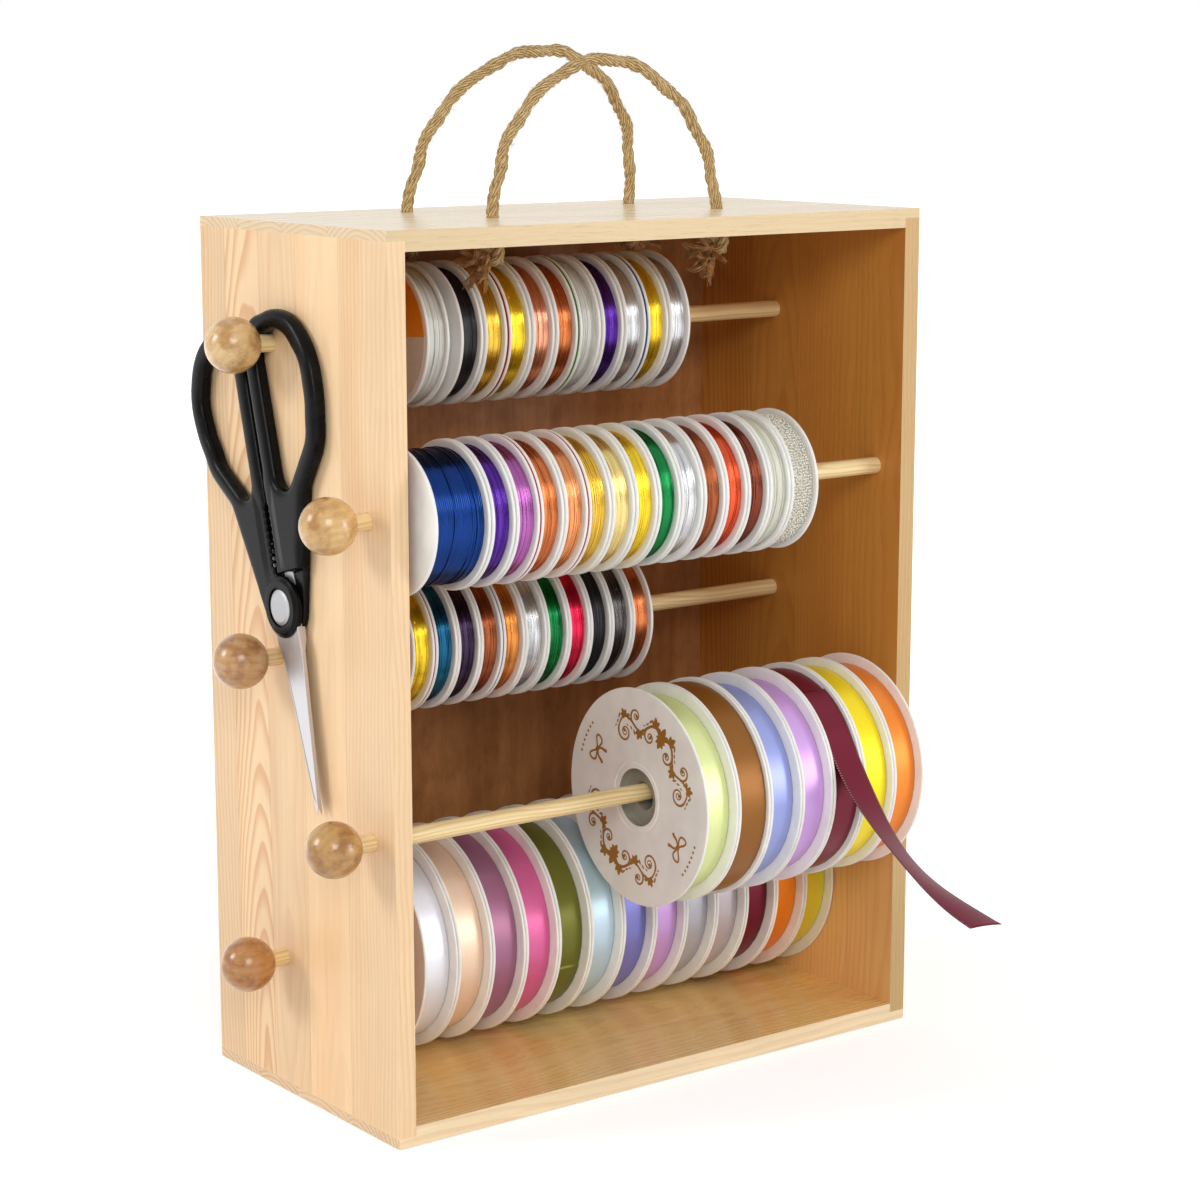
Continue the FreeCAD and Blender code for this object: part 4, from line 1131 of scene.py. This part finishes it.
def handle_piece(half, part, material):
    """The CAD handle, rounded over as a moulding is."""
    node = f"scissors_{part}_handle"
    obj = linked(f"scissors_{half}_handle", frame["nodes"][node].data.copy())
    edit(obj.data, lambda work: bmesh.ops.remove_doubles(work, verts=work.verts, dist=WELD))
    remesh = obj.modifiers.new("voxels", "REMESH")
    remesh.mode, remesh.voxel_size, remesh.use_smooth_shade = "VOXEL", 0.00042, True
    smooth = obj.modifiers.new("round", "SMOOTH")
    smooth.factor, smooth.iterations = 0.5, 14
    mesh, places = bake(obj)
    # The loops and the outsides of the shanks are rounder still; the teeth stay crisp.
    y, z = places[:, 1] - PIVOT_Y, places[:, 2] - PIVOT_Z
    u, v = y * TILT_COS - z * TILT_SIN, y * TILT_SIN + z * TILT_COS
    share = np.clip(np.maximum((v - 44) / 10, (np.abs(u) - 5) / 4), 0, 1) * np.clip((v - 8) / 14, 0.0, 1)
    # The loop's outline, which CAD makes of arcs and straight lines, becomes one smooth oval.
    side = 1.0 if u.mean() > 0 else -1.0
    from_u, from_v = side * u - LOOP_MIDDLE[0], v - LOOP_MIDDLE[1]
    reach, bearing = np.hypot(from_u, from_v), np.degrees(np.arctan2(from_v, from_u))
    bins = np.arange(-50, 131, 2.0)
    outline = np.array([reach[np.abs(bearing - b) < 2.0].max(initial=0.0) for b in bins])
    weights = np.exp(-0.5 * ((bins[:, None] - bins[None, :]) / 14.0) ** 2)
    oval = (weights @ outline) / weights.sum(1)
    fade = np.clip((bearing + 45) / 35, 0, 1) * np.clip((125 - bearing) / 30, 0, 1)
    fade = fade * fade * (3 - 2 * fade) * np.clip((side * u - 17) / 8, 0, 1)
    shift = np.interp(bearing, bins, oval - outline) * fade / np.maximum(reach, 1.0)
    places[:, 1] += shift * side * from_u * TILT_COS + shift * from_v * TILT_SIN
    places[:, 2] += -shift * side * from_u * TILT_SIN + shift * from_v * TILT_COS
    set_numbers(mesh.vertices, "co", places * MM)
    group = obj.vertex_groups.new(name="round")
    for level in range(1, 9):
        group.add([int(i) for i in np.nonzero(np.round(share * 8) == level)[0]], level / 8, "REPLACE")
    more = obj.modifiers.new("rounder", "SMOOTH")
    more.factor, more.iterations, more.vertex_group = 0.5, 150, "round"
    swell = obj.modifiers.new("swell", "DISPLACE")
    swell.strength, swell.mid_level, swell.vertex_group = 0.0006, 0.0, "round"
    mesh, places = bake(obj)
    # It stays clear of the board that it hangs against and of the dowel that it hangs on.
    places[:, 0] = np.minimum(places[:, 0], BOARD_FACE - HANDLE_GAP)
    from_dowel = places[:, 1:] - ROD_PLACES[0]
    apart = np.linalg.norm(from_dowel, axis=1)
    near = apart < DOWEL_RADIUS + HANDLE_GAP
    places[near, 1:] += from_dowel[near] * ((DOWEL_RADIUS + HANDLE_GAP) / apart[near] - 1.0)[:, None]
    set_numbers(mesh.vertices, "co", places * MM)
    mesh.materials.clear()
    mesh.materials.append(material)
    mesh.polygons.foreach_set("use_smooth", np.full(len(mesh.polygons), True))
    placed(obj, f"scissors_{part}_half", node, slot="scissors_plastic")


def blade_piece(half, part, side, outer, inner, materials):
    """A blade with a ground bevel along its cutting edge."""
    name, work = f"scissors_{half}_blade", bmesh.new()

    def verts(points, x):
        return [work.verts.new([c * MM for c in on_scissors(x, side * u, v)]) for u, v in points]

    tops = verts(BLADE_BACK + BLADE_RIDGE + BLADE_TANG, outer)
    edges = verts(BLADE_EDGE, inner + (outer - inner) * 0.15)
    bases = verts(BLADE_BACK + BLADE_EDGE + BLADE_TANG, inner)
    work.faces.new(tops)
    # The bevel faces take the second steel, darker as painted shade.
    for corners in ((tops[3], edges[0], tops[4]), (edges[0], edges[1], tops[4]),
                    (tops[4], edges[1], edges[2], tops[5]), (tops[5], edges[2], tops[6])):
        work.faces.new(corners).material_index = 1
    work.faces.new(bases[::-1])
    rim = tops[:4] + edges + tops[6:]
    for i in range(len(rim)):
        j = (i + 1) % len(rim)
        work.faces.new([rim[i], bases[i], bases[j], rim[j]])
    bmesh.ops.recalc_face_normals(work, faces=work.faces)
    mesh = bpy.data.meshes.new(name)
    work.to_mesh(mesh)
    work.free()
    for material in materials:
        mesh.materials.append(material)
    obj = linked(name, mesh)
    bevelled(obj, 0.12, 2, 12.0)
    placed(obj, f"scissors_{part}_half", f"scissors_{part}_blade", slot="blade_steel")


def make_scissors(plastic, blade, cap):
    """Two handles, two blades and the pivot. blade is the flat steel and a darker copy of it for the ground
    bevel: the bevel is real, its darker tone is painted shade.
    """
    for names in HALVES:
        handle_piece(*names[:2], plastic)
    for names_and_places in HALVES:
        blade_piece(*names_and_places, blade)
    # The raised ring of the boss, the domed cap of the pivot and the pin's far head.
    axis = on_scissors(0, 0, 0)[1:]
    ring = rounded([(-157.95, 8.9), (-157.95, 12.0, 0.6), (-156.9, 13.3, 0.3), (-156.6, 13.3), (-156.6, 8.9)],
                   0.35)
    placed(lathe("scissors_boss_ring", ring, axis, 96, [plastic]), "scissors_free_half")
    dome = rounded([(-158.1, 0.05, 0.01), (-158.1, 6.6, 0.8), (-157.5, 8.0, 0.4), (-157.1, 8.0, 0.1),
                    (-157.1, 3.0, 0.1), (-151.5, 3.0, 0.2), (-151.5, 0.05, 0.01)], 0.2, 4)
    head = rounded([(-151.7, 3.0), (-151.7, 5.0), (-150.95, 5.0), (-150.95, 3.0)], 0.2)
    body = frame["nodes"]["scissors_pivot"]["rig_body"]
    placed(lathe("scissors_pivot_cap", dome, axis, 96, [cap]), body, "scissors_pivot", slot="pivot_cap")
    placed(lathe("scissors_pivot_head", head, axis, 64, [cap]), body, slot="pivot_cap")


# ---------------------------------------------------------------- the box, dowels and knobs
# A knob's light and dark colour, and its pith's offset, depth and tilt.
KNOBS = (((228, 194, 138), (176, 130, 74), -9.0, 5.0, 0.10),
         ((218, 178, 116), (172, 122, 62), 6.0, -9.0, -0.16),
         ((200, 156, 104), (134, 88, 50), 3.0, 4.0, 0.2),
         ((198, 154, 92), (134, 88, 44), -5.0, 8.0, 0.1),
         ((188, 134, 76), (120, 74, 34), 8.0, -4.0, -0.12))


def make_box():
    """Looks for the CAD's own boards, brads, dowels and knobs."""
    pine = srgb(249, 215, 171), srgb(208, 136, 74)
    # inner is painted shade for the insides of the boards, and inner_shade_low the lighter painted shade near
    # the floor of the box; each front tint is painted shade on a front edge.
    inner, inner_shade_low = (0.67, 0.405, 0.125, 1.0), (1.0, 0.82, 0.52, 1.0)
    boards = {
        "left_side_panel": wood(
            "pine_left", *pine, "Z", -0.1455, 1.0, (-0.0395, -0.0045, 0.0265, 0.0560),
            ((96.0, 26.0, 0.02, 0.96, 0.18), (30.0, 40.0, 0.03, 1.05, 0.08), (-12.0, 30.0, -0.02, 0.95, 0.14),
             (-34.0, 14.0, 0.10, 1.02, 0.50), (-110.0, 40.0, 0.01, 0.93, 0.26)),
            inside="+X", inside_shade=inner),
        "right_side_panel": wood(
            "pine_right", *pine, "Z", 0.1455, 5.0, (-0.0450, -0.0020, 0.0330),
            ((80.0, 40.0, 0.02, 1.0, 0.18), (60.0, 30.0, 0.02, 1.02, 0.16), (-10.0, 26.0, 0.06, 0.98, 0.22),
             (-92.0, 40.0, 0.01, 0.92, 0.40)),
            inside="-X", inside_shade=inner, inside_shade_low=inner_shade_low, front=(0.66, 0.62, 0.45, 1.0)),
        "top_panel": wood(
            "pine_top", srgb(250, 232, 196), srgb(226, 178, 118), "X", 0.3955, 9.0, (-0.0320, 0.0060, 0.0440),
            ((60.0, 30.0, 0.02, 1.0, 0.16), (20.0, 50.0, 0.03, 1.02, 0.10), (-20.0, 40.0, -0.05, 0.99, 0.18),
             (-80.0, 30.0, 0.02, 1.0, 0.2)),
            gloss=0.30, coat=0.15, inside="-Z", inside_shade=inner, front=(0.70, 0.61, 0.45, 1.0)),
        "bottom_panel": wood(
            "pine_bottom", srgb(248, 224, 184), srgb(212, 162, 104), "X", 0.0045, 13.0,
            (-0.0360, 0.0080, 0.0420),
            ((44.0, 20.0, 0.03, 1.0, 0.22), (10.0, 50.0, 0.03, 1.02, 0.14), (-30.0, 30.0, -0.05, 0.99, 0.2),
             (-80.0, 30.0, 0.02, 1.0, 0.24)),
            # Painted shade on the upper face, inside the box.
            gloss=0.28, coat=0.4, inside="+Z", inside_shade=(1.0, 0.84, 0.50, 1.0))}
    for node, material in boards.items():
        soften(node, material, 0.5)
    soften("back_panel", back_board(), 0.25)
    soften("back_panel_brads", steel("brad_steel", srgb(196, 196, 192), 0.3), 0.15, 2)
    for row, ((y, z), (tone, deep, offset, depth, tilt)) in enumerate(zip(ROD_PLACES, KNOBS)):
        paint_node(f"rod_{row + 1}", wood(
            f"dowel_{row + 1}", srgb(244, 222, 170), srgb(214, 166, 98), "X", z * MM, 21.0 + 3 * row, (),
            ((-y - 30.0 + 9 * row, 20.0 + 7 * row, 0.01, 1.0, 0.55),), ring=1.7, streak=0.16, gloss=0.34))
        paint_node(f"knob_{row + 1}", wood(
            f"knob_{row + 1}", srgb(*tone), srgb(*deep), "X", z * MM, 41.0 + 5 * row, (),
            ((-y + offset, depth, tilt, 1.0, 0.16),), ring=3.4, blotch=0.30, gloss=0.26, coat=0.5,
            end_share=0.0, mottle=0.85))


# ---------------------------------------------------------------- camera, floor and light
FLOOR_SIZE, FLOOR_LEVEL, FLOOR_GLOW = 12.0, -0.0004, 0.46


def make_camera():
    """The photograph's viewpoint, fitted to the corners of the box."""
    azimuth, elevation, roll = (math.radians(angle) for angle in (-36.53, 11.21, -0.14))
    distance, aim = 1.382, Vector((0, 0, 0.2))
    back = Vector((math.sin(azimuth) * math.cos(elevation), -math.cos(azimuth) * math.cos(elevation),
                   math.sin(elevation)))
    data = bpy.data.cameras.new("camera")
    data.sensor_width, data.lens = 36.0, 87.03
    data.shift_x, data.shift_y = 0.0267, 0.0295
    data.clip_start, data.clip_end = 0.05, 50.0
    camera = linked("camera", data)
    camera.location = aim + back * distance
    turn = (-back).to_track_quat("-Z", "Y").to_matrix().to_4x4()
    camera.rotation_euler = (turn @ Matrix.Rotation(roll, 4, "Z")).to_euler()
    scene.camera = camera


def shows_white(tree):
    """1 where the camera looks, straight or by way of a gloss or glass, and 0 for other rays."""
    path = tree.nodes.new("ShaderNodeLightPath")
    camera, glossy, through = (Value(tree, path.outputs[f"Is {kind} Ray"])
                               for kind in ("Camera", "Glossy", "Transmission"))
    return tree.math("MAXIMUM", tree.math("MAXIMUM", camera, glossy), through)


def make_stage():
    """A white floor that shows white round the object and keeps its soft shadow."""
    mesh = bpy.data.meshes.new("floor")
    mesh.from_pydata([(x * FLOOR_SIZE, y * FLOOR_SIZE, FLOOR_LEVEL) for x, y in
                      ((-1, -1), (1, -1), (1, 1), (-1, 1))], [], [(0, 1, 2, 3)])
    linked("floor", mesh)
    material = bpy.data.materials.new("floor_white")
    mesh.materials.append(material)
    # Far from the object the floor is plain white; near it, it is lit and takes the shadow.
    tree = Tree(material)
    place = Value(tree, tree.nodes.new("ShaderNodeTexCoord").outputs["Object"])
    far = tree.node("VectorMath", {0: place}, "Value", operation="LENGTH")
    glow = tree.node("Emission", {0: WHITE, 1: shows_white(tree) * far.ramp(FLOOR_GLOW, 1.0, 0.22, 0.62)})
    matt = tree.node("BsdfDiffuse", {0: (0.86, 0.86, 0.86, 1)})
    tree.end("Material", tree.node("AddShader", {0: matt, 1: glow}))
    scene.world = bpy.data.worlds.new("studio")
    tree = Tree(scene.world)
    room = tree.node("Background", {0: (1.0, 0.98, 0.96, 1), 1: 0.5})
    white = tree.node("Background", {0: WHITE, 1: 1.0})
    tree.end("World", tree.node("MixShader", {0: shows_white(tree), 1: room, 2: white}))


def softbox(name, place, target, size, power):
    """A rectangular lamp that points at the target."""
    data = bpy.data.lights.new(name, "AREA")
    data.shape = "RECTANGLE"
    data.size, data.size_y = size
    data.energy = power
    lamp = linked(name, data)
    lamp.location = place
    lamp.rotation_euler = (Vector(target) - Vector(place)).to_track_quat("-Z", "Y").to_euler()


make_camera()
jute = jute_fibre("jute_rope", srgb(246, 214, 154), srgb(108, 76, 34))
jute_loose = jute_fibre("jute_loose_fibres", srgb(246, 192, 128), srgb(150, 96, 52))
rng = random.Random(7)
for name in ROPES:
    make_rope(name, jute, jute_loose, rng)
make_wire_reels([reel_plastic("reel_white", srgb(243, 243, 239), 0.3),
                 reel_plastic("wire_reel_hub", srgb(212, 212, 206), 0.2)])
cloth = make_ribbon_reels([reel_plastic("reel_cream", srgb(250, 249, 244), 0.15),
                           reel_plastic("reel_hub", srgb(158, 158, 144), 0.1)],
                          printed("foil_print", srgb(172, 120, 46), 0.4, 0.2))
make_tail(cloth["burgundy"])
make_scissors(scissors_plastic(), [steel("blade_steel", srgb(196, 194, 197), 0.42),
                                   # The second, darker steel is painted shade on the bevel.
                                   steel("blade_grind", srgb(128, 128, 134), 0.42)],
              steel("pivot_cap", srgb(172, 172, 174), 0.48, (5000.0, 40.0, 5000.0)))
make_box()
make_stage()
softbox("key", (-1.9, 0.9, 1.2), (-0.15, 0.0, 0.2), (0.7, 0.7), 15.5)
softbox("front", (1.45, -2.0, 0.55), (0.0, 0.0, 0.2), (0.8, 1.0), 14.5)
softbox("high", (-1.15, -1.95, 1.3), (0.0, 0.0, 0.2), (1.0, 0.8), 18.0)
